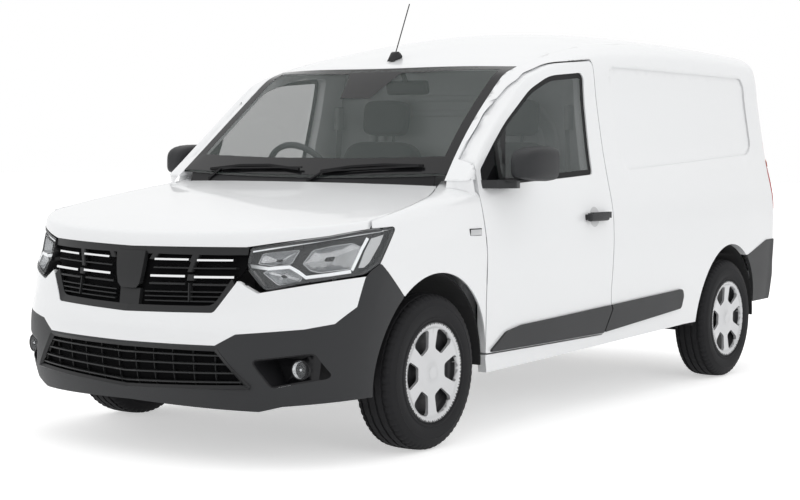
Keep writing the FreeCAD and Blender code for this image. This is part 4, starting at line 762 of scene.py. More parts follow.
@dataclass
class Wheel:
    """One tyre with grooves and its covered steel wheel."""

    corner: str
    bead: float = 0.202
    shave: float = 0.0002
    lower_side: Line = (
        (0.014, -0.005), (0.006, 0.004), (0.0025, 0.009), (0.0025, 0.013), (0.0045, 0.016),
        (0.001, 0.03), (0.0, 0.046), (0.002, 0.06), (0.001, 0.0615), (0.0035, 0.066))
    upper_side: Line = (
        (0.008, 0.027), (0.0125, 0.0175), (0.0135, 0.0165), (0.018, 0.0095), (0.026, 0.0042))
    grooves: tuple[float, ...] = (-0.052, -0.018, 0.018, 0.052)
    groove_half: float = 0.0042
    groove_depth: float = 0.0065
    groove_slope: float = 0.0012
    crown_drop: float = 0.0028
    crown_half: float = 0.06
    crown_power: float = 2.4
    pitches: int = 62
    steps_per_pitch: int = 3
    tread_height: float = 0.024
    shoulder_start: float = 0.054
    rib_end: float = 0.05
    shoulder_sink: float = 0.0048
    rib_sink: float = 0.0022
    sink_fade: float = 0.01
    tyre_sharp: float = 24.0
    hub: float = 0.767
    cover_start: float = 0.0655
    cover_radius: float = 0.192
    cover_face: float = 0.083
    cover_sharp: float = 28.0
    cap: Line = (
        (-0.003, 0.0), (0.0008, 0.0), (0.0022, 0.012), (0.0026, 0.022), (0.0012, 0.0265),
        (0.0009, 0.0285), (-0.004, 0.0288), (-0.004, 0.0))
    ring: Line = (
        (-0.003, 0.1835), (0.0012, 0.1845), (0.0018, 0.187), (0.0006, 0.189), (-0.004, 0.1892),
        (-0.004, 0.1835), (-0.003, 0.1835))
    cap_steps: int = 48
    ring_steps: int = 96

    def profile(self, half: float, radius: float, rim: float) -> list[Pair]:
        """Return the tyre's outline from bead to bead.

        Args:
            half: Half its width.
            radius: Outer radius.
            rim: Bead radius.

        Returns:
            Points of (across, radius).
        """
        side = [(half - inset, rim + rise) for inset, rise in self.lower_side]
        side += [(half - inset, radius - drop) for inset, drop in self.upper_side]
        tread = []
        for middle in reversed(self.grooves):
            near, far = middle + self.groove_half, middle - self.groove_half
            tread += [(near + self.groove_slope, radius), (near, radius - self.groove_depth),
                      (far, radius - self.groove_depth), (far - self.groove_slope, radius)]
        crown = [(a, r - self.crown_drop * (abs(a) / self.crown_half) ** self.crown_power)
                 for a, r in tread]
        return side + crown + [(-a, r) for a, r in reversed(side)]

    def tyre(self) -> None:
        """Spin the tyre and cut its cross grooves."""
        node = "tyre_" + self.corner
        low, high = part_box(node)
        centre = (low + high) / 2
        half, radius = (high.x - low.x) / 2, (high.z - low.z) / 2
        steps = self.pitches * self.steps_per_pitch
        axle = Vector((1, 0, 0))
        profile = self.profile(half, radius - self.shave, self.bead)
        bm = Maker.turned(profile, steps, centre, axle)
        lead = axle.orthogonal().normalized()
        across = axle.cross(lead)
        base = radius - self.tread_height
        last = self.steps_per_pitch - 1
        for v in bm.verts:
            off = v.co - centre
            away = math.hypot(off.y, off.z)
            if away < base:
                continue
            angle = math.atan2(off.dot(across), off.dot(lead))
            step = round(angle / math.tau * steps) % steps
            shoulder = abs(off.x) > self.shoulder_start
            notch = step % self.steps_per_pitch == last
            rib = step % (2 * self.steps_per_pitch) == last and abs(off.x) < self.rib_end
            if (shoulder and notch) or rib:
                sink = self.shoulder_sink if shoulder else self.rib_sink
                fade = min(1.0, (away - base) / self.sink_fade)
                v.co -= Vector((0, off.y, off.z)).normalized() * sink * fade
        piece = Maker.piece("grooved_" + node, bm, [TYRE], Maker.body_of(node), "tyre_rubber",
                            math.radians(self.tyre_sharp))
        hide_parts(node)

    def cover(self) -> None:
        """Split the wheel's finishes between its silver cover and dark rim, and add its cap and ring."""
        node = "wheel_" + self.corner
        low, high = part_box(node)
        centre = (low + high) / 2
        sign = 1 if centre.x > 0 else -1
        bm = Maker.copy_of(node)
        for f in bm.faces:
            mid = f.calc_center_median()
            out = mid.x * sign - self.hub
            away = math.hypot(mid.y - centre.y, mid.z - centre.z)
            f.material_index = 0 if out > self.cover_start and away < self.cover_radius else 1
        body = Maker.body_of(node)
        piece = Maker.piece(node + "_skin", bm, [SILVER, WHEEL_DARK], body, "wheel_silver",
                            math.radians(self.cover_sharp), outward=False)
        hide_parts(node)
        face = Vector((sign * (self.hub + self.cover_face), centre.y, centre.z))
        way = Vector((sign, 0, 0))
        cap = Maker.turned(self.cap, self.cap_steps, face, way)
        ring = Maker.turned(self.ring, self.ring_steps, face, way)
        Maker.piece("cover_rings_" + self.corner, Maker.join(cap, ring), [SILVER], body, "wheel_silver")

    def build(self) -> None:
        """Build the tyre and the wheel."""
        self.tyre()
        self.cover()


@dataclass
class Glazing:
    """Rubber seals and printed borders on the panes."""

    seal_width: float = 0.024
    screen_border: float = 0.045
    foot_rows: tuple[float, ...] = (0.004, 0.04, 0.085)
    foot_end: float = 0.012
    foot_step: float = 0.003
    stations: int = 44
    outer_face: float = 0.45
    band_wall: float = 0.0012
    seal_lift: float = 0.0012
    border_lift: float = 0.0005
    print_lift: float = 0.0006
    screen_way: Triple = (0.0, -0.6, 0.8)
    patch_lift: float = 0.0007
    patch_back: float = 0.165
    patch_rows: Line = ((-0.14, 0.085), (-0.07, 0.11), (0.0, 0.14), (0.02, 0.16))
    patch_shares: tuple[float, ...] = (-1, -0.5, 0, 0.5, 1)
    stem_ends: tuple[Pair, Pair] = ((-0.335, 1.555), (-0.3, 1.5))
    stem_size: Triple = (0.022, 0.016, 0.004)
    mirror_size: Triple = (0.235, 0.034, 0.068)
    mirror_place: Triple = (0, -0.292, 1.487)
    mirror_round: float = 0.014
    mirror_tip: float = 0.2
    above: float = 2.0

    def rim(self, name: str, node: str, facing: Vector, width: float, proud: float,
            finish: Finish) -> None:
        """Lay a flat border along the edge of a pane's outer face.

        Args:
            name: The piece's name.
            node: The pane.
            facing: Outward direction of that face.
            width: Width of the border.
            proud: How far it stands above the pane.
            finish: Its finish.
        """
        bm = Maker.copy_of(node)
        hidden = [f for f in bm.faces if f.normal.dot(facing) < self.outer_face]
        bmesh.ops.delete(bm, geom=hidden, context="FACES")
        bm = Maker.band(bm, width, proud, self.band_wall)
        Maker.piece(name, bm, [finish], Maker.body_of(node), "dark_plastic", outward=False)

    def printed(self, name: str, rows: Sequence[Sequence[Vector]]) -> None:
        """Lay a black print on the windscreen.

        Args:
            name: The piece's name.
            rows: Rows of its points.
        """
        bm = Maker.thicken(Maker.loft(rows, closed=False), self.print_lift)
        Maker.piece(name, bm, [BLACK], "body", "dark_plastic")

    def screen(self) -> None:
        """Print the windscreen's foot band and sensor patch, and hang the mirror."""
        low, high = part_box("windscreen")
        down = Vector((0, 0, -1))
        reach = high.x - self.foot_end
        rows: list[list[Vector]] = [[] for _ in self.foot_rows]
        tree = Surfaces.tree("windscreen")
        for k in range(self.stations + 1):
            x = -reach + 2 * reach * k / self.stations
            y = low.y
            while tree.ray_cast(Vector((x, y, self.above)), down)[0] is None and y < high.y:
                y += self.foot_step
            for row, ahead in zip(rows, self.foot_rows):
                start = Vector((x, y + ahead, self.above))
                row.append(Surfaces.drop(start, down, -self.print_lift, "windscreen"))
        self.printed("screen_foot_band", rows)
        back = high.y - self.patch_back
        self.printed("sensor_patch", [
            [Surfaces.drop(Vector((x * wide, back + y, self.above)), down, -self.patch_lift, "windscreen")
             for x in self.patch_shares] for y, wide in self.patch_rows])
        ends = [Vector((0, y, z)) for y, z in self.stem_ends]
        wide, tall, soft = self.stem_size
        stem = Maker.bar(*ends, wide, tall, Vector((0, 0, 1)), soft)
        shell = Maker.block(self.mirror_size, self.mirror_place, self.mirror_round, 4,
                            Matrix.Rotation(self.mirror_tip, 3, "X"))
        Maker.piece("cab_mirror", Maker.join(stem, shell), [BEZEL], "body", "cab_plastic")

    def build(self) -> None:
        """Build every border and seal."""
        for side, sign in SIDES:
            self.rim("window_seal_" + side, "door_glass_" + side, Vector((sign, 0, 0)), self.seal_width,
                     self.seal_lift, RUBBER)
        self.rim("screen_border", "windscreen", Vector(self.screen_way), self.screen_border,
                 self.border_lift, BLACK)
        self.screen()


@dataclass
class Headlamps:
    """Both headlamps: clear lens, black body, reflectors, light guides and turn lamp."""

    lens_wall: float = 0.0022
    thin_wall: float = 0.0012
    body_depth: float = 0.048
    border: Triple = (0.009, -0.0026, 0.002)
    facing: Pair = (0.5, -0.86)
    front_share: float = 0.4
    pulls: Pair = (0.3, 0.9)
    side_shares: tuple[float, ...] = (0.08, 0.36, 0.64, 0.92)
    bowl_rings: tuple[Triple, ...] = (
        (1.06, 0.0, 0.009), (1.0, 0.0, 0.0085), (0.97, 0.0, 0.012), (0.82, 0.45, 0.006),
        (0.55, 0.8, 0.006), (0.2, 1.0, 0.006))
    bowl_sharp: float = 40.0
    guide_sunk: float = 0.006
    guide_crest: Pair = (0.7, 0.0022)
    top_back: float = 0.0045
    turn_depths: Pair = (0.0045, 0.009)
    bowls: tuple[Traced, ...] = (
        (((258.5, 263.6), (263.5, 253.4), (299.5, 249.6), (291.0, 263.5), (276.0, 265.8)), 0.032),
        (((304.0, 263.2), (314.0, 250.0), (335.0, 245.6), (352.5, 243.4), (361.0, 247.5),
          (352.0, 268.5), (320.0, 272.2), (311.0, 270.0)), 0.036),
        (((263.5, 273.0), (269.0, 270.0), (287.5, 268.2), (301.5, 277.8), (299.0, 281.6),
          (278.0, 285.0)), 0.028))
    blades: tuple[Traced, ...] = (
        (((245.5, 270.4), (268.0, 268.6), (289.5, 266.9), (298.0, 271.8), (306.0, 277.6),
          (330.0, 274.8), (351.5, 271.6)), 0.0135),
        (((352.5, 270.4), (357.0, 261.0), (362.0, 250.0), (368.4, 238.0)), 0.0125),
        (((252.0, 251.6), (272.0, 248.4), (310.0, 242.4), (350.0, 236.0), (384.0, 230.6)), 0.006))
    strips: tuple[Traced, ...] = (
        (((246.5, 250.6), (272.0, 246.4), (310.0, 240.2), (350.0, 233.8), (388.0, 228.0)), 0.016),)
    turn: Line = (
        (359.0, 268.0), (365.0, 252.0), (371.8, 238.4), (384.4, 234.4), (380.6, 244.0),
        (370.0, 262.6), (364.5, 267.6))

    def way(self, place: Vector) -> Vector:
        """Return the way that the lamp on a place's side faces.

        Args:
            place: A point of the lamp.

        Returns:
            The direction.
        """
        side = 1 if place.x > 0 else -1
        return Vector((self.facing[0] * side, self.facing[1], 0))

    def shell(self) -> tuple[Shape, Shape]:
        """Split the lamps' solids into a lens and a sunk body.

        Returns:
            The lens and the body of both lamps.
        """
        lens, body = Maker.copy_of("headlamps"), Maker.copy_of("headlamps")
        for bm in (lens, body):
            bm.normal_update()
            for f in bm.faces:
                f.tag = f.normal.dot(self.way(f.calc_center_median())) > self.front_share
        bmesh.ops.delete(lens, geom=[f for f in lens.faces if not f.tag], context="FACES")
        front = {v for f in body.faces if f.tag for v in f.verts}
        moves = {v: v.normal.copy() for v in front}
        for v, normal in moves.items():
            pull = normal * self.pulls[0] + self.way(v.co) * self.pulls[1]
            v.co -= pull.normalized() * self.body_depth
        return lens, body

    def bowl(self, outline: Sequence[Pixel], depth: float) -> Shape:
        """Make one reflector behind an outline seen in the picture.

        Args:
            outline: Corners in the picture.
            depth: How deep it is.

        Returns:
            The bmesh.
        """
        corners = list(outline)
        points: list[Pixel] = []
        for (a, b), (c, d) in zip(corners, corners[1:] + corners[:1]):
            points += [(a + (c - a) * t, b + (d - b) * t) for t in self.side_shares]
        mid = [sum(values) / len(points) for values in zip(*points)]
        rings = []
        for size, share, sunk in self.bowl_rings:
            ring = [(mid[0] + (u - mid[0]) * size, mid[1] + (v - mid[1]) * size) for u, v in points]
            rings.append([Surfaces.seen(p, share * depth + sunk, "headlamps") for p in ring])
        return Maker.loft(rings)

    def strip(self, line: Sequence[Pixel], width: float) -> Shape:
        """Make a light guide along a line seen in the picture.

        Args:
            line: Its middle line in the picture.
            width: Its width.

        Returns:
            The bmesh.
        """
        middle = [Surfaces.seen(p, self.guide_sunk, "headlamps") for p in line]
        crest, rise = self.guide_crest
        rings = []
        for k, point in enumerate(middle):
            way = (middle[min(k + 1, len(middle) - 1)] - middle[max(k - 1, 0)]).normalized()
            out = (Surfaces.seen(line[k], 0.0, "headlamps") - point).normalized()
            across = way.cross(out).normalized() * width / 2
            rings.append([point + across, point + across * crest + out * rise,
                          point - across * crest + out * rise, point - across,
                          point - out * self.guide_sunk])
        return Maker.loft(rings, caps=True)

    def walls(self, lens: Shape) -> Shape:
        """Make the walls that reach back from the edge of both lenses.

        Args:
            lens: The lenses.

        Returns:
            The bmesh.
        """
        tube = lens.copy()
        reach = bmesh.ops.extrude_edge_only(tube, edges=[e for e in tube.edges if e.is_boundary])
        for v in (g for g in reach["geom"] if isinstance(g, bmesh.types.BMVert)):
            v.co -= self.way(v.co) * self.body_depth
        edges = [g for g in reach["geom"] if isinstance(g, bmesh.types.BMEdge)]
        kept = {f for edge in edges for f in edge.link_faces}
        bmesh.ops.delete(tube, geom=[f for f in tube.faces if f not in kept], context="FACES")
        return Maker.thicken(tube, self.thin_wall)

    def build(self) -> None:
        """Build both lamps and replace the plain solids."""
        lens, body = self.shell()
        Maker.piece("headlamp_walls", self.walls(lens), [BLACK], "body", "lamp_lens")
        edge = Maker.band(lens.copy(), *self.border)
        whole = Maker.piece("headlamp_bodies", body, [BLACK], "body", "lamp_lens", outward=False)
        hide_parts("headlamps")
        Maker.piece("headlamp_borders", edge, [BEZEL], "body", "dark_plastic", outward=False)
        Maker.piece("headlamp_lenses", Maker.thicken(lens, self.lens_wall), [CLEAR], "body", "lamp_lens")
        bowls = Maker.join(*[self.bowl(outline, depth) for outline, depth in self.bowls])
        Maker.thicken(bowls, self.thin_wall)
        guides, tops = (Maker.join(*[self.strip(line, width) for line, width in lines])
                        for lines in (self.blades, self.strips))
        bmesh.ops.translate(tops, vec=(0, self.top_back, 0), verts=tops.verts)
        patch = Maker.loft([[Surfaces.seen(p, depth, "headlamps") for p in self.turn]
                            for depth in self.turn_depths], caps=True)
        for name, bm, finish, sharp in (("reflectors", bowls, FACET, math.radians(self.bowl_sharp)),
                                        ("light_guides", guides, BLADE, SHARP),
                                        ("top_strips", tops, SMOKE, SHARP),
                                        ("turn_lamps", patch, SMOKE, SHARP)):
            Maker.piece("headlamp_" + name, Maker.mirrored(bm), [finish], "body", "lamp_lens", sharp)


@dataclass
class Nose:
    """The nose's surface: how far forward it stands at each height and distance from the middle."""

    corner: float = -1.6305
    tip: float = -2.1965
    half: float = 0.878
    line: Line = (
        (0.2, 0.062), (0.3, 0.018), (0.43, 0.0), (0.52, 0.006), (0.6, 0.03), (0.69, 0.04),
        (0.815, 0.057), (0.9, 0.084))
    fullness: Line = ((0.43, 2.4), (0.69, 2.2), (0.85, 2.0))
    rounds: int = 12

    @staticmethod
    def smooth(knots: Sequence[Pair], place: float) -> float:
        """Return the value of a smooth curve through knots.

        Args:
            knots: Pairs of place and value.
            place: Where to read it.

        Returns:
            The value.
        """
        last = len(knots) - 1
        slopes = []
        for k in range(last + 1):
            a, b = knots[max(k - 1, 0)], knots[min(k + 1, last)]
            slopes.append((b[1] - a[1]) / (b[0] - a[0]))
        if place <= knots[0][0] or place >= knots[last][0]:
            k = 0 if place <= knots[0][0] else last
            return knots[k][1] + slopes[k] * (place - knots[k][0])
        k = max(j for j in range(last) if knots[j][0] <= place)
        step = knots[k + 1][0] - knots[k][0]
        t = (place - knots[k][0]) / step
        near = (2 * t ** 3 - 3 * t ** 2 + 1) * knots[k][1] + (t ** 3 - 2 * t ** 2 + t) * step * slopes[k]
        far = (3 * t ** 2 - 2 * t ** 3) * knots[k + 1][1]
        return near + far + (t ** 3 - t ** 2) * step * slopes[k + 1]

    def at(self, x: float, z: float, sunk: float) -> Vector:
        """Return the point of the surface at a place, moved back.

        Args:
            x: Distance from the middle.
            z: Height.
            sunk: Distance behind the surface.

        Returns:
            The point.
        """
        depth = self.corner - (self.tip + self.smooth(self.line, z))
        power = self.smooth(self.fullness, z)
        share = min(1.0, abs(x) / self.half)
        return Vector((x, self.corner - depth * (1 - share ** power) ** (1 / power) + sunk, z))

    def seen(self, pixel: Pixel, sunk: float) -> Vector:
        """Return the point of the sunk surface under a picture point.

        Args:
            pixel: The picture point.
            sunk: Distance behind the surface.

        Returns:
            The point.
        """
        way, start = VIEW.ray(pixel), Vector(VIEW.place)
        y = self.tip + sunk
        for _ in range(self.rounds):
            hit = start + way * ((y - start.y) / way.y)
            y = self.at(hit.x, hit.z, sunk).y
        return self.at(hit.x, hit.z, sunk)


@dataclass
class Grille:
    """Upper grille with bright bars, lower intake with level slats, and the fog lamps.

    Bars seen in the picture are two ends and a height. A bar's form is its depth from front to
    back and the distance of its front behind the nose's surface.
    """

    nose: Nose = field(default_factory=Nose)
    spans: int = 8
    section: Line = (
        (-0.5, 1.0), (-0.5, 0.22), (-0.34, 0.0), (0.34, 0.0), (0.5, 0.22), (0.5, 1.0))
    bright_form: Pair = (0.02, 0.004)
    slat_form: Pair = (0.02, 0.014)
    post_form: Pair = (0.022, 0.009)
    bright: tuple[Bar, ...] = (
        ((154.7, 258.8), (188.6, 259.5), 0.0105), ((197.0, 260.2), (233.2, 260.4), 0.0105),
        ((150.3, 275.4), (184.8, 276.2), 0.0125), ((194.0, 277.0), (234.0, 277.4), 0.0125))
    slats: tuple[Bar, ...] = (
        ((153.5, 267.2), (189.9, 268.0), 0.0065), ((193.2, 268.3), (236.0, 268.6), 0.0065),
        ((149.2, 283.0), (184.8, 283.9), 0.0095), ((192.6, 284.6), (246.5, 285.4), 0.0095),
        ((144.8, 290.8), (240.5, 292.4), 0.0055), ((144.8, 295.4), (234.5, 297.2), 0.0055),
        ((144.8, 300.0), (229.5, 302.0), 0.0055))
    posts: tuple[Bar, ...] = (
        ((198.4, 247.5), (192.0, 262.0), 0.03), ((192.6, 262.0), (189.0, 272.0), 0.02),
        ((190.6, 274.6), (189.4, 280.6), 0.032), ((188.6, 283.0), (188.2, 302.0), 0.006),
        ((159.6, 246.6), (151.6, 259.0), 0.03))
    band: tuple[Line, Line] = (
        ((158.0, 246.0), (176.0, 246.4), (198.0, 247.0), (220.0, 247.2), (240.0, 247.2)),
        ((156.2, 253.4), (174.0, 254.2), (196.0, 254.8), (218.6, 255.2), (237.6, 255.2)))
    band_sunk: Triple = (0.006, 0.005, 0.009)
    band_rise: float = 0.006
    band_start_drop: float = 0.004
    band_end: Pair = (0.506, 0.001)
    outer: Line = (
        (0.0, 0.5665), (0.2, 0.572), (0.36, 0.5775), (0.395, 0.5795), (0.412, 0.5865),
        (0.425, 0.603), (0.442, 0.629), (0.458, 0.654), (0.475, 0.681))
    inner: Line = (
        (0.0, 0.592), (0.2, 0.597), (0.35, 0.602), (0.378, 0.6045), (0.394, 0.612),
        (0.407, 0.627), (0.424, 0.653), (0.44, 0.679), (0.456, 0.706))
    frame_sunk: Pair = (0.003, 0.012)
    frame_wall: float = 0.012
    back_wall: float = 0.004
    inside_sunk: float = 0.034
    inside_heights: Pair = (0.57, 0.24)
    inside_reach: Triple = (0.505, 0.385, 0.62)
    inside_shares: tuple[float, ...] = (0.0, 0.25, 0.5, 0.75, 1.0)
    plate_wall: float = 0.02
    plate_shares: tuple[float, ...] = (0.0, 0.5, 0.85, 1.0)
    plate: tuple[Triple, ...] = ((0.59, 0.05, 0.014), (0.655, 0.052, 0.014))
    cup: tuple[Triple, ...] = (
        (0.652, 0.02, 0.006), (0.656, 0.04, 0.002), (0.672, 0.056, 0.0), (0.705, 0.064, -0.001),
        (0.745, 0.07, -0.001), (0.788, 0.074, 0.0), (0.798, 0.072, 0.003))
    window: Line = ((0.0, 0.447), (0.436, 0.452), (0.554, 0.306), (0.0, 0.276))
    inset: Line = ((0.0, 0.434), (0.424, 0.438), (0.531, 0.317), (0.0, 0.288))
    inset_sunk: Pair = (0.003, 0.013)
    slat_places: tuple[float, ...] = (0.2, 0.41, 0.63, 0.85)
    slat_gap: float = 0.004
    slat_size: Triple = (0.0075, 0.016, 0.014)
    rib_places: tuple[float, ...] = (0.045, 0.137, 0.229, 0.321, 0.413, 0.505)
    rib_size: Triple = (0.0035, 0.008, 0.03)
    intake_shares: tuple[float, ...] = (0.0, 0.3, 0.6, 0.85, 1.0)
    intake_rows: Line = ((0.545, 0.285), (0.545, 0.32), (0.49, 0.38), (0.43, 0.445))
    intake_corner: Pair = (0.5, 0.302)
    intake_sunk: float = 0.04
    fog_place: Triple = (0.708, -2.6, 0.376)
    fog_way: Triple = (0.25, -0.97, 0)
    fog_proud: float = 0.001
    fog_wall: float = 0.001
    fog_bowl: Line = (
        (-0.018, 0.0), (-0.017, 0.01), (-0.012, 0.02), (0.0, 0.031), (0.002, 0.033))
    fog_lens: Line = (
        (0.0085, 0.0), (0.0075, 0.012), (0.0045, 0.024), (0.0, 0.0315), (-0.002, 0.0315),
        (0.0025, 0.0235), (0.0055, 0.012), (0.0065, 0.0))
    fog_bulb: Line = ((-0.016, 0.006), (0.0, 0.006), (0.0025, 0.004), (0.003, 0.0))
    fog_ring: Line = (
        (-0.004, 0.0325), (0.003, 0.033), (0.0035, 0.0365), (-0.004, 0.038), (-0.004, 0.0325))
    fog_steps: int = 40
    bulb_steps: int = 20

    def run(self, a: Pair, b: Pair, high: float, deep: float, sunk: float) -> Shape:
        """Make a bar along the nose between two places.

        Args:
            a: One end, as distance from the middle and height.
            b: The other end.
            high: Height of the bar, or its width where it stands upright.
            deep: Depth from front to back.
            sunk: Distance of its front behind the nose's surface.

        Returns:
            The bmesh.
        """
        upright = abs(b[1] - a[1]) > abs(b[0] - a[0])
        rings = []
        for k in range(self.spans + 1):
            x, z = (a[i] + (b[i] - a[i]) * k / self.spans for i in (0, 1))
            ring = []
            for across, back in self.section:
                dx, dz = (across * high, 0) if upright else (0, across * high)
                ring.append(self.nose.at(x + dx, z + dz, sunk) + Vector((0, back * deep, 0)))
            rings.append(ring)
        return Maker.loft(rings, caps=True)

    def place(self, pixel: Pixel, sunk: float) -> Pair:
        """Find where a picture point lies on the nose.

        Args:
            pixel: The picture point.
            sunk: Distance behind the nose's surface.

        Returns:
            Its distance from the middle and its height.
        """
        point = self.nose.seen(pixel, sunk)
        return (point.x, point.z)

    def bars(self, rows: Sequence[Bar], form: Pair) -> list[Shape]:
        """Make bars where the picture shows them.

        Args:
            rows: Their ends and heights.
            form: Their depth and the distance behind the nose's surface.

        Returns:
            One bmesh for each.
        """
        return [self.run(self.place(a, form[1]), self.place(b, form[1]), high, *form)
                for a, b, high in rows]

    def sheet(self, lines: Sequence[Sequence[Pair]], sunk: Sequence[float], wall: float) -> Shape:
        """Lay a sheet over rows of places on the nose.

        Args:
            lines: Rows of places.
            sunk: Depth of each row.
            wall: Its thickness.

        Returns:
            The bmesh.
        """
        rings = [[self.nose.at(x, z, deep) for x, z in line] for line, deep in zip(lines, sunk)]
        return Maker.thicken(Maker.loft(rings, closed=False), wall)

    def upper(self) -> None:
        """Build the upper grille."""
        self.both("grille_bright_bars", self.bars(self.bright, self.bright_form), CHROME)
        dark = self.bars(self.slats, self.slat_form) + self.bars(self.posts, self.post_form)
        seen_at, *sunk = self.band_sunk
        top = [[self.place(pixel, seen_at) for pixel in row] for row in self.band]
        top[0] = [(x, z + self.band_rise) for x, z in top[0]]
        for row in top:
            row.insert(0, (0.0, row[0][1] - self.band_start_drop))
            row.append((self.band_end[0], row[-1][1] + self.band_end[1]))
        dark.append(self.sheet(top, sunk, self.frame_wall))
        dark.append(self.sheet((self.outer, self.inner), self.frame_sunk, self.frame_wall))
        self.both("grille_dark_bars", dark, SATIN, "grille")
        # Painted shade: a near-black sheet behind the bars stands in for the shade inside the grille.
        base, height = self.inside_heights
        most, start, slope = self.inside_reach
        levels = [base + height * k / self.spans for k in range(self.spans + 1)]
        reach = [min(most, start + slope * (z - base)) for z in levels]
        back = [[(x * t, z) for t in self.inside_shares] for x, z in zip(reach, levels)]
        inside = self.sheet(back, [self.inside_sunk] * len(back), self.back_wall)
        self.both("grille_shadow_sheet", [inside], PAINTED_SHADOW_BLACK)
        plates = []
        for form in (self.plate, self.cup):
            lines = [[(wide * share, z) for share in self.plate_shares] for z, wide, _ in form]
            plates.append(self.sheet(lines, [deep for _, _, deep in form], self.plate_wall))
        self.both("grille_middle_plate", plates, SATIN)

    def lower(self) -> None:
        """Build the intake's slats, ribs and frame, and a near-black sheet behind them as painted shade
        inside the intake.
        """
        top, high, low, foot = self.window
        dark = []
        for t in self.slat_places:
            near = (0.0, top[1] + (foot[1] - top[1]) * t)
            far = (high[0] + (low[0] - high[0]) * t - self.slat_gap, high[1] + (low[1] - high[1]) * t)
            dark.append(self.run(near, far, *self.slat_size))
        for x in self.rib_places:
            slope = (low[1] - high[1]) * (x - high[0]) / (low[0] - high[0])
            crest = top[1] if x < high[0] else high[1] + slope
            base = foot[1] + (low[1] - foot[1]) * x / low[0]
            dark.append(self.run((x, base), (x, crest), *self.rib_size))
        steps = [k / self.spans for k in range(self.spans + 1)]
        for ends in zip(zip(self.window, self.window[1:]), zip(self.inset, self.inset[1:])):
            edge = [[(p[0] + (q[0] - p[0]) * t, p[1] + (q[1] - p[1]) * t) for t in steps] for p, q in ends]
            dark.append(self.sheet(edge, self.inset_sunk, self.frame_wall))
        self.both("intake_bars", dark, SATIN, "lower_grille")
        # Painted shade: a near-black sheet behind the slats stands in for the shade inside the intake.
        back = [[(x * t, z) for t in self.intake_shares] for x, z in self.intake_rows]
        back[0][-1] = self.intake_corner
        inside = self.sheet(back, [self.intake_sunk] * len(back), self.back_wall)
        self.both("intake_shadow_sheet", [inside], PAINTED_SHADOW_BLACK)

    @staticmethod
    def both(name: str, parts: Sequence[Shape], finish: Finish, node: str = "") -> None:
        """Join shapes with their mirror images in one piece.

        Args:
            name: The piece's name.
            parts: Shapes of the van's left side.
            finish: Their finish.
            node: CAD node that it replaces, if any.
        """
        bm = Maker.mirrored(Maker.join(*parts))
        piece = Maker.piece(name, bm, [finish], "body", "grille_plastic")
        if node:
            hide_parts(node)

    def fog(self) -> None:
        """Set a reflector with its bulb, a clear lens and a ring in each fog lamp's cup."""
        start = Vector(self.fog_place)
        spot = Surfaces.drop(start, Vector((0, 1, 0)), 0.0, "fog_lamps")
        way = Vector(self.fog_way).normalized()
        base = Vector((start.x, spot.y, start.z)) + way * self.fog_proud
        bowl, lens, ring = (Maker.turned(profile, self.fog_steps, base, way)
                            for profile in (self.fog_bowl, self.fog_lens, self.fog_ring))
        Maker.thicken(bowl, self.fog_wall)
        bulb = Maker.turned(self.fog_bulb, self.bulb_steps, base, way)
        for name, bm, finish, slot in (("fog_reflectors", Maker.join(bowl, bulb), FACET, "lamp_lens"),
                                       ("fog_lenses", lens, CLEAR, "lamp_lens"),
                                       ("fog_rings", ring, BEZEL, "dark_plastic")):
            Maker.piece(name, Maker.mirrored(bm), [finish], "body", slot)

    def build(self) -> None:
        """Build the grille, the intake and the fog lamps."""
        self.upper()
        self.lower()
        self.fog()


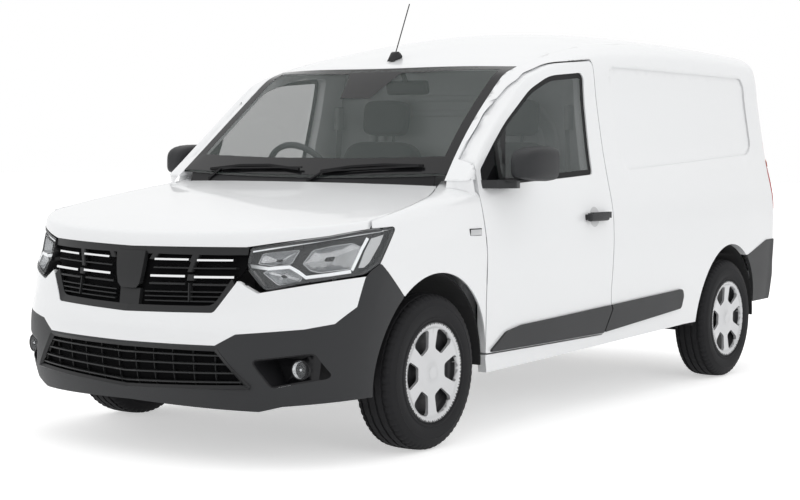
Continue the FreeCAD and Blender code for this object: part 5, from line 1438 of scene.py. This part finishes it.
@dataclass
class Mirrors:
    """Door mirrors: rounded shell on its foot, black sail and glass."""

    middle: float = 0.9655
    half: Pair = (0.0725, 0.0735)
    height: float = 1.1375
    front: float = -0.874
    back_gap: float = 0.0012
    fullness: float = 4.2
    nose_power: float = 3.4
    nose_drop: float = 0.45
    waist: float = 0.05
    waist_start: float = 0.8
    waist_length: float = 0.2
    round_steps: int = 48
    steps: tuple[float, ...] = (0.001, 0.006, 0.02, 0.05, 0.1, 0.18, 0.3, 0.45, 0.62, 0.8, 0.94, 1.0)
    sharp: float = 40.0
    foot_top: float = 1.068
    foot_tidy: float = 2.0
    foot_round: float = 0.005
    foot_angle: float = 38.0
    glass_size: Triple = (0.112, 0.003, 0.112)
    glass_round: float = 0.0012
    sail_wall: float = 0.002
    sail_lift: float = 0.0016
    sail: tuple[Line, ...] = (
        ((482.6, 177.0), (488.2, 164.0), (494.2, 151.5), (504.2, 128.5)),
        ((505.0, 179.0), (505.0, 163.0), (505.0, 147.0), (505.4, 128.8)))

    def shell(self, back: float) -> Shape:
        """Make the left mirror's rounded housing.

        Args:
            back: Where its rear end stands.

        Returns:
            The bmesh.
        """
        rings = []
        for t in self.steps:
            grow = (1 - (1 - t) ** self.nose_power) ** (1 / self.nose_power)
            pull = 1 - self.waist * max(0.0, t - self.waist_start) / self.waist_length
            ring = []
            for k in range(self.round_steps):
                a = math.tau * k / self.round_steps
                c, d = math.cos(a), math.sin(a)
                full = abs(c) ** self.fullness + abs(d) ** self.fullness
                reach = full ** (-1 / self.fullness) * grow * pull
                rise = self.half[1] * (reach * d - self.nose_drop * (1 - grow))
                ring.append(Vector((self.middle + self.half[0] * reach * c,
                                    self.front + (back - self.front) * t, self.height + rise)))
            rings.append(ring)
        return Maker.loft(rings, caps=True)

    def foot(self, node: str) -> Shape:
        """Return the lower part of the CAD mirror, closed again.

        Args:
            node: The CAD mirror.

        Returns:
            The bmesh.
        """
        bm = Maker.copy_of(node, self.foot_tidy)
        bmesh.ops.bisect_plane(bm, geom=bm.verts[:] + bm.edges[:] + bm.faces[:],
                               plane_co=(0, 0, self.foot_top), plane_no=(0, 0, 1), clear_outer=True)
        bmesh.ops.holes_fill(bm, edges=[e for e in bm.edges if e.is_boundary])
        return bm

    def build(self) -> None:
        """Build both mirrors."""
        sharp = math.radians(self.sharp)
        for side, sign in SIDES:
            node = "mirror_" + side
            body = Maker.body_of(node)
            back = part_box(node)[1].y - self.back_gap
            shell = self.shell(back)
            piece = Maker.piece(node + "_shell", shell if sign > 0 else Maker.flipped(shell),
                                [PLASTIC], body, "dark_plastic", sharp)
            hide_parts(node)
            foot = Maker.piece(node + "_foot", self.foot(node), [PLASTIC], body, "dark_plastic", sharp)
            soft = foot.modifiers.new("moulded_edges", "BEVEL")
            soft.width, soft.segments = self.foot_round, 3
            soft.limit_method, soft.angle_limit = "ANGLE", math.radians(self.foot_angle)
            glass = Maker.block(self.glass_size, (sign * self.middle, back, self.height),
                                self.glass_round, 2)
            Maker.piece("mirror_glass_" + side, glass, [MIRROR], body, "side_glass")
            rows = [[Surfaces.seen(p, -self.sail_lift, "door_glass_left", "door_left") for p in row]
                    for row in self.sail]
            sail = Maker.thicken(Maker.loft(rows, closed=False), self.sail_wall)
            Maker.piece("mirror_sail_" + side, sail if sign > 0 else Maker.flipped(sail), [BEZEL],
                        body, "dark_plastic")


@dataclass
class SideTrim:
    """Turn repeaters, handles in their dishes and the scuttle corners."""

    repeater: Pixel = (475.8, 232.4)
    lens_size: Triple = (0.009, 0.082, 0.025)
    lens_proud: float = 0.0005
    lens_round: float = 0.0042
    rim_size: Triple = (0.005, 0.09, 0.032)
    rim_sunk: float = 0.0004
    rim_round: float = 0.0024
    handle: Pixel = (594.6, 216.8)
    beside: float = 1.3
    dish_steps: int = 40
    dish_sharp: float = 60.0
    dish: Line = (
        (0.046, 0.0002), (0.044, 0.0011), (0.04, 0.0009), (0.0276, 0.0005), (0.004, 0.0004))
    grip: Triple = (0.026, 0.176, 0.036)
    grip_place: Pair = (0.024, -0.004)
    grip_round: float = 0.011
    foot_size: Triple = (0.03, 0.03, 0.026)
    foot_places: Line = ((0.009, -0.072), (0.009, 0.066))
    foot_round: float = 0.006
    corner_lift: float = 0.0012
    corner_wall: float = 0.0024
    corner_top: Line = (
        (447.0, 179.6), (452.0, 179.6), (458.0, 179.6), (465.0, 179.6), (472.6, 179.4))
    corner_foot: Line = (
        (446.0, 188.0), (452.0, 188.6), (458.0, 189.4), (466.0, 191.4), (475.6, 197.0))

    def build(self) -> None:
        """Build the trim of both flanks."""
        spot = Surfaces.seen(self.repeater, 0.0, "wings", "body_sides")
        lens = Maker.block(self.lens_size, (spot.x + self.lens_proud, spot.y, spot.z), self.lens_round)
        rim = Maker.block(self.rim_size, (spot.x - self.rim_sunk, spot.y, spot.z), self.rim_round, 2)
        rows = [[Surfaces.seen(p, -self.corner_lift, node) for p in row]
                for row, node in ((self.corner_top, "body_sides"), (self.corner_foot, "wings"))]
        corner = Maker.thicken(Maker.loft(rows, closed=False), self.corner_wall)
        for name, bm, finish, slot in (("side_repeaters", lens, SMOKE, "lamp_lens"),
                                       ("repeater_rims", rim, BEZEL, "lamp_lens"),
                                       ("scuttle_corners", corner, WHITE, "white_paint")):
            Maker.piece(name, Maker.mirrored(bm), [finish], "body", slot)
        for side, sign in SIDES:
            self.handle_set(side, sign)

    def handle_set(self, side: str, sign: int) -> None:
        """Build one door's grip and the dish behind it, a sheet on the door painted darker to show the shade
        of a hollow.

        Args:
            side: Name of the side.
            sign: 1 for left, -1 for right.
        """
        mid = Surfaces.seen(self.handle, 0.0, "door_left")
        door, inward = "door_" + side, Vector((-sign, 0, 0))
        rings = []
        for r, lift in self.dish:
            ring = []
            for k in range(self.dish_steps):
                a = math.tau * k / self.dish_steps
                start = Vector((sign * self.beside, mid.y + r * math.cos(a), mid.z + r * math.sin(a)))
                ring.append(Surfaces.drop(start, inward, -lift, door))
            rings.append(ring)
        # Painted shade: the dish lies just proud of the door and is painted darker to show the shade of a
        # recess.
        Maker.piece("painted_shade_dish_" + side, Maker.loft(rings, caps=True), [HOLLOW_SHADE_PAINT], door, "white_paint",
                    math.radians(self.dish_sharp))
        parts = [Maker.block(size, (sign * (mid.x + out), mid.y + along, mid.z), soft, segments)
                 for size, (out, along), soft, segments in (
                     (self.grip, self.grip_place, self.grip_round, 4),
                     (self.foot_size, self.foot_places[0], self.foot_round, 2),
                     (self.foot_size, self.foot_places[1], self.foot_round, 2))]
        Maker.piece("handle_grip_" + side, Maker.join(*parts), [PLASTIC], door, "dark_plastic")


@dataclass
class RearEnd:
    """Tail lamps' sections, plate holder with its lamp hood, and the rear door's handle."""

    behind: float = 3.0
    section_start: float = 2.6
    across: Triple = (0.775, 0.79, 0.8)
    section_lift: float = 0.0006
    section_wall: float = 0.0012
    sections: tuple[tuple[str, float, float, Finish], ...] = (
        ("tail_turn_lamps", 1.12, 1.165, AMBER), ("tail_reverse_lamps", 1.065, 1.112, CLEAR))
    fittings: tuple[tuple[str, Finish, Triple, Pair, Pair, float, float, int], ...] = (
        ("plate_holder", PLATE, (0.53, 0.006, 0.125), (0.22, 0.84), (0.1, 0.84), 0.0035, 0.0025, 2),
        ("plate_lamp_hood", PLASTIC, (0.36, 0.016, 0.03), (0.22, 0.925), (0.1, 0.84), 0.0085, 0.005, 3),
        ("rear_door_handle", PLASTIC, (0.024, 0.013, 0.15), (-0.125, 1.02), (-0.11, 1.02), 0.0068,
         0.0045, 3))

    def build(self) -> None:
        """Build the tail's trim."""
        ahead = Vector((0, -1, 0))
        for name, foot, head, finish in self.sections:
            rings = [[Surfaces.drop(Vector((x, self.section_start, z)), ahead, -self.section_lift,
                                    "tail_lamps") for x in self.across]
                     for z in (foot, (foot + head) / 2, head)]
            bm = Maker.thicken(Maker.loft(rings, closed=False), self.section_wall)
            Maker.piece(name, Maker.mirrored(bm), [finish], "body", "red_lens")
        door = "rear_door_left"
        for name, finish, size, place, probe, proud, soft, segments in self.fittings:
            skin = Surfaces.drop(Vector((probe[0], self.behind, probe[1])), ahead, 0.0, door)
            block = Maker.block(size, (place[0], skin.y + proud, place[1]), soft, segments)
            Maker.piece(name, block, [finish], door, "dark_plastic")


@dataclass
class Wipers:
    """Rubber blades on the parked wiper arms."""

    lines: tuple[Line, ...] = (
        ((212, 170.5), (242, 167.0), (271, 166.8), (300, 171.0)),
        ((322, 173.0), (352, 168.5), (385, 166.6), (424, 167.6)))
    lift: float = 0.011
    out: Triple = (0, -0.55, 0.83)
    rise: float = 0.007
    sink: float = 0.009
    front: Triple = (0, -0.007, -0.004)
    back: Triple = (0, 0.008, 0.004)
    sharp: float = 40.0

    def build(self) -> None:
        """Lay the blades along the windscreen's foot."""
        out = Vector(self.out)
        blades = []
        for pixels in self.lines:
            line = [Surfaces.seen(p, -self.lift, "windscreen") for p in pixels]
            rings = [[point + Vector(self.front), point + out * self.rise,
                      point + Vector(self.back), point - out * self.sink] for point in line]
            blades.append(Maker.loft(rings, caps=True))
        Maker.piece("wiper_blades", Maker.join(*blades), [RUBBER], "body", "dark_plastic",
                    math.radians(self.sharp))


@dataclass
class Seats:
    """Two cab seats with sewn pads, belts and rigid feet.

    A pad is its name, size, place behind the seat's front and height, lean, crown and channels.
    """

    front: float = -0.5415
    cuts: int = 21
    power: float = 5.0
    channel_depth: float = 0.055
    channel_width: float = 0.035
    pad_sharp: float = 80.0
    pads: tuple[tuple[str, Triple, Pair, float, float, tuple[float, ...]], ...] = (
        ("seat_cushion_", (0.49, 0.5, 0.145), (0.26, 0.634), 0.055, 0.06, (-0.55, 0.55)),
        ("seat_back_", (0.47, 0.105, 0.6), (0.536, 0.935), -0.16, 0.1, (-0.55, 0.55)),
        ("seat_headrest_", (0.255, 0.082, 0.175), (0.606, 1.352), -0.1, 0.06, ()))
    places: tuple[tuple[str, float, int], ...] = (("right", -0.375, -1), ("left", 0.375, 1))
    stand_size: Triple = (0.4, 0.4, 0.22)
    stand_place: Pair = (0.265, 0.445)
    stand_round: float = 0.02
    stalks: Pair = (-0.052, 0.052)
    stalk_ends: tuple[Pair, Pair] = ((0.585, 1.19), (0.6, 1.3))
    stalk_size: Triple = (0.012, 0.012, 0.004)
    belt_ends: tuple[Triple, Triple] = ((0.665, 0.06, 1.32), (0.7, 0.05, 0.62))
    belt_size: Triple = (0.046, 0.0016, 0.0005)
    guide_size: Triple = (0.03, 0.05, 0.12)
    guide_place: Triple = (0.672, 0.062, 1.35)
    guide_round: float = 0.006

    def pad(self, name: str, size: Sequence[float], centre: Sequence[float], lean: float,
            crown: float, channels: Sequence[float]) -> None:
        """Make one stuffed pad with sewn channels.

        Args:
            name: The piece's name.
            size: Width, depth and height before it swells.
            centre: Its middle.
            lean: Turn about X in radians.
            crown: How far its middle swells.
            channels: Places across, from -1 to 1, of the sewn channels.
        """
        bm = bmesh.new()
        bmesh.ops.create_cube(bm, size=2)
        bmesh.ops.subdivide_edges(bm, edges=bm.edges[:], cuts=self.cuts, use_grid_fill=True)
        thin = 1 if size[1] < size[2] else 2
        for v in bm.verts:
            p = v.co / sum(abs(c) ** self.power for c in v.co) ** (1 / self.power)
            edge = min(1.0, abs(p.y) if abs(p.z) > abs(p.y) else abs(p.z))
            swell = 1 + crown * (1 - p.x * p.x) * (1 - edge ** 2)
            for c in channels:
                swell -= self.channel_depth * math.exp(-((p.x - c) / self.channel_width) ** 2)
            p[thin] *= swell
            v.co = Vector((p.x * size[0] / 2, p.y * size[1] / 2, p.z * size[2] / 2))
        bmesh.ops.rotate(bm, cent=(0, 0, 0), matrix=Matrix.Rotation(lean, 3, "X"), verts=bm.verts)
        bmesh.ops.translate(bm, vec=centre, verts=bm.verts)
        piece = Maker.piece(name, bm, [FABRIC], "body", "seat_fabric", math.radians(self.pad_sharp))

    def build(self) -> None:
        """Build both seats and their belts."""
        stands, belts = [], []
        for side, x, out in self.places:
            for name, size, (back, height), lean, crown, channels in self.pads:
                self.pad(name + side, size, (x, self.front + back, height), lean, crown, channels)
            back, height = self.stand_place
            stands.append(Maker.block(self.stand_size, (x, self.front + back, height), self.stand_round))
            for dx in self.stalks:
                ends = [Vector((x + dx, self.front + y, z)) for y, z in self.stalk_ends]
                wide, high, soft = self.stalk_size
                stands.append(Maker.bar(*ends, wide, high, Vector((1, 0, 0)), soft))
            ends = [Vector((out * away, y, z)) for away, y, z in self.belt_ends]
            wide, high, soft = self.belt_size
            belts.append(Maker.bar(*ends, wide, high, Vector((1, 0, 0)), soft))
            away, y, z = self.guide_place
            belts.append(Maker.block(self.guide_size, (out * away, y, z), self.guide_round, 2))
        stand = Maker.piece("seat_stands", Maker.join(*stands), [TRIM], "body", "seat_fabric")
        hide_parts("seats")
        Maker.piece("seat_belts", Maker.join(*belts), [WEB], "body", "seat_fabric")


@dataclass
class Bulkhead:
    """Pressed double ring on the bulkhead's face."""

    half: float = 0.46
    low: float = 0.82
    high: float = 1.36
    corner: float = 0.16
    corner_steps: int = 8
    grows: Pair = (0.0, 0.075)
    section: Line = (
        (0, 0.0004), (0.006, 0.006), (0.016, 0.0075), (0.026, 0.006), (0.032, 0.0004))
    sharp: float = 60.0

    def ring(self, grow: float, lift: float, face: float) -> list[Vector]:
        """Return one rounded rectangle in front of the bulkhead.

        Args:
            grow: Distance outwards.
            lift: Distance in front of the face.
            face: The face's place.

        Returns:
            Its points.
        """
        points = []
        r = self.corner + grow
        mid_z, half_z = (self.low + self.high) / 2, (self.high - self.low) / 2
        for sx, sz, start in ((1, 1, 0.0), (-1, 1, 0.5), (-1, -1, 1.0), (1, -1, 1.5)):
            for k in range(self.corner_steps + 1):
                a = (start + k / (2 * self.corner_steps)) * math.pi
                points.append(Vector((sx * (self.half - self.corner) + r * math.cos(a), face - lift,
                                      mid_z + sz * (half_z - self.corner) + r * math.sin(a))))
        return points

    def build(self) -> None:
        """Press two low beads round the bulkhead's middle."""
        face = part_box("bulkhead")[0].y
        beads = [Maker.loft([self.ring(grow + g, lift, face) for g, lift in self.section])
                 for grow in self.grows]
        Maker.piece("bulkhead_beads", Maker.join(*beads), [INNER], "body", "white_paint",
                    math.radians(self.sharp))


@dataclass
class Studio:
    """Pale floor, white surroundings and soft lamps, each a place, a size and a power."""

    floor_size: float = 60.0
    paper: float = 0.8
    paper_rough: float = 0.9
    paper_specular: float = 0.1
    paper_glow: float = 0.5
    world_light: Pair = (0.8, 1.0)
    target: Triple = (0, 0, 0.7)
    lamps: tuple[tuple[Triple, float, float], ...] = (
        ((0.5, -0.5, 6.5), 7.0, 70.0), ((7.5, -3.0, 3.2), 4.0, 95.0), ((-4.5, -7.5, 3.0), 4.0, 75.0),
        ((0.0, 8.0, 3.5), 5.0, 60.0), ((-7.5, 1.0, 3.2), 4.0, 60.0))

    @staticmethod
    def watched(tree: bpy.types.NodeTree) -> bpy.types.NodeSocket:
        """Return a value of 1 for rays of the camera, of gloss and through glass.

        Args:
            tree: The nodes to add to.

        Returns:
            The value's socket.
        """
        path = tree.nodes.new("ShaderNodeLightPath")
        value = path.outputs["Is Camera Ray"]
        for kind in ("Is Glossy Ray", "Is Transmission Ray"):
            either = tree.nodes.new("ShaderNodeMath")
            either.operation = "MAXIMUM"
            tree.links.new(value, either.inputs[0])
            tree.links.new(path.outputs[kind], either.inputs[1])
            value = either.outputs["Value"]
        return value

    def floor(self) -> None:
        """Lay the floor."""
        bm = bmesh.new()
        bmesh.ops.create_grid(bm, x_segments=1, y_segments=1, size=self.floor_size)
        mesh = bpy.data.meshes.new("studio_floor")
        bm.to_mesh(mesh)
        bm.free()
        obj = placed("studio_floor", mesh)
        mat = bpy.data.materials.new("studio_floor_paper")
        mat.use_nodes = True
        tree = mat.node_tree
        shader = tree.nodes["Principled BSDF"]
        fill(shader, Base_Color=(self.paper, self.paper, self.paper, 1), Roughness=self.paper_rough,
             Specular_IOR_Level=self.paper_specular, Emission_Color=(1, 1, 1, 1))
        glow = tree.nodes.new("ShaderNodeMath")
        glow.operation = "MULTIPLY"
        glow.inputs[1].default_value = self.paper_glow
        tree.links.new(self.watched(tree), glow.inputs[0])
        tree.links.new(glow.outputs["Value"], shader.inputs["Emission Strength"])
        mesh.materials.append(mat)

    def surroundings(self) -> None:
        """White to the eye and to gloss, softer as light."""
        world = bpy.data.worlds.new("studio_white")
        bpy.context.scene.world = world
        world.use_nodes = True
        tree = world.node_tree
        back = tree.nodes["Background"]
        fill(back, Color=(1, 1, 1, 1))
        level = tree.nodes.new("ShaderNodeMapRange")
        fill(level, To_Min=self.world_light[0], To_Max=self.world_light[1])
        tree.links.new(self.watched(tree), level.inputs["Value"])
        tree.links.new(level.outputs["Result"], back.inputs["Strength"])

    def lights(self) -> None:
        """Hang the soft lamps round the van."""
        for number, (place, size, power) in enumerate(self.lamps):
            data = bpy.data.lights.new(f"softbox_{number}", "AREA")
            data.shape, data.size, data.energy = "SQUARE", size, power
            lamp = placed(data.name, data)
            lamp.visible_glossy = False
            lamp.location = place
            aim = Vector(self.target) - Vector(place)
            lamp.rotation_euler = aim.to_track_quat("-Z", "Y").to_euler()

    def build(self) -> None:
        """Build the studio."""
        bpy.context.scene.view_settings.view_transform = "Standard"
        self.floor()
        self.surroundings()
        self.lights()


def main() -> None:
    """Dress the van piece by piece, then set the studio and camera."""
    VIEW.build()
    Skins().build()
    for corner in ("front_left", "front_right", "rear_left", "rear_right"):
        Wheel(corner).build()
    for maker in (Glazing, Headlamps, Grille, Mirrors, SideTrim, RearEnd, Wipers, Seats, Bulkhead, Studio):
        maker().build()


if __name__ == "__main__":
    main()
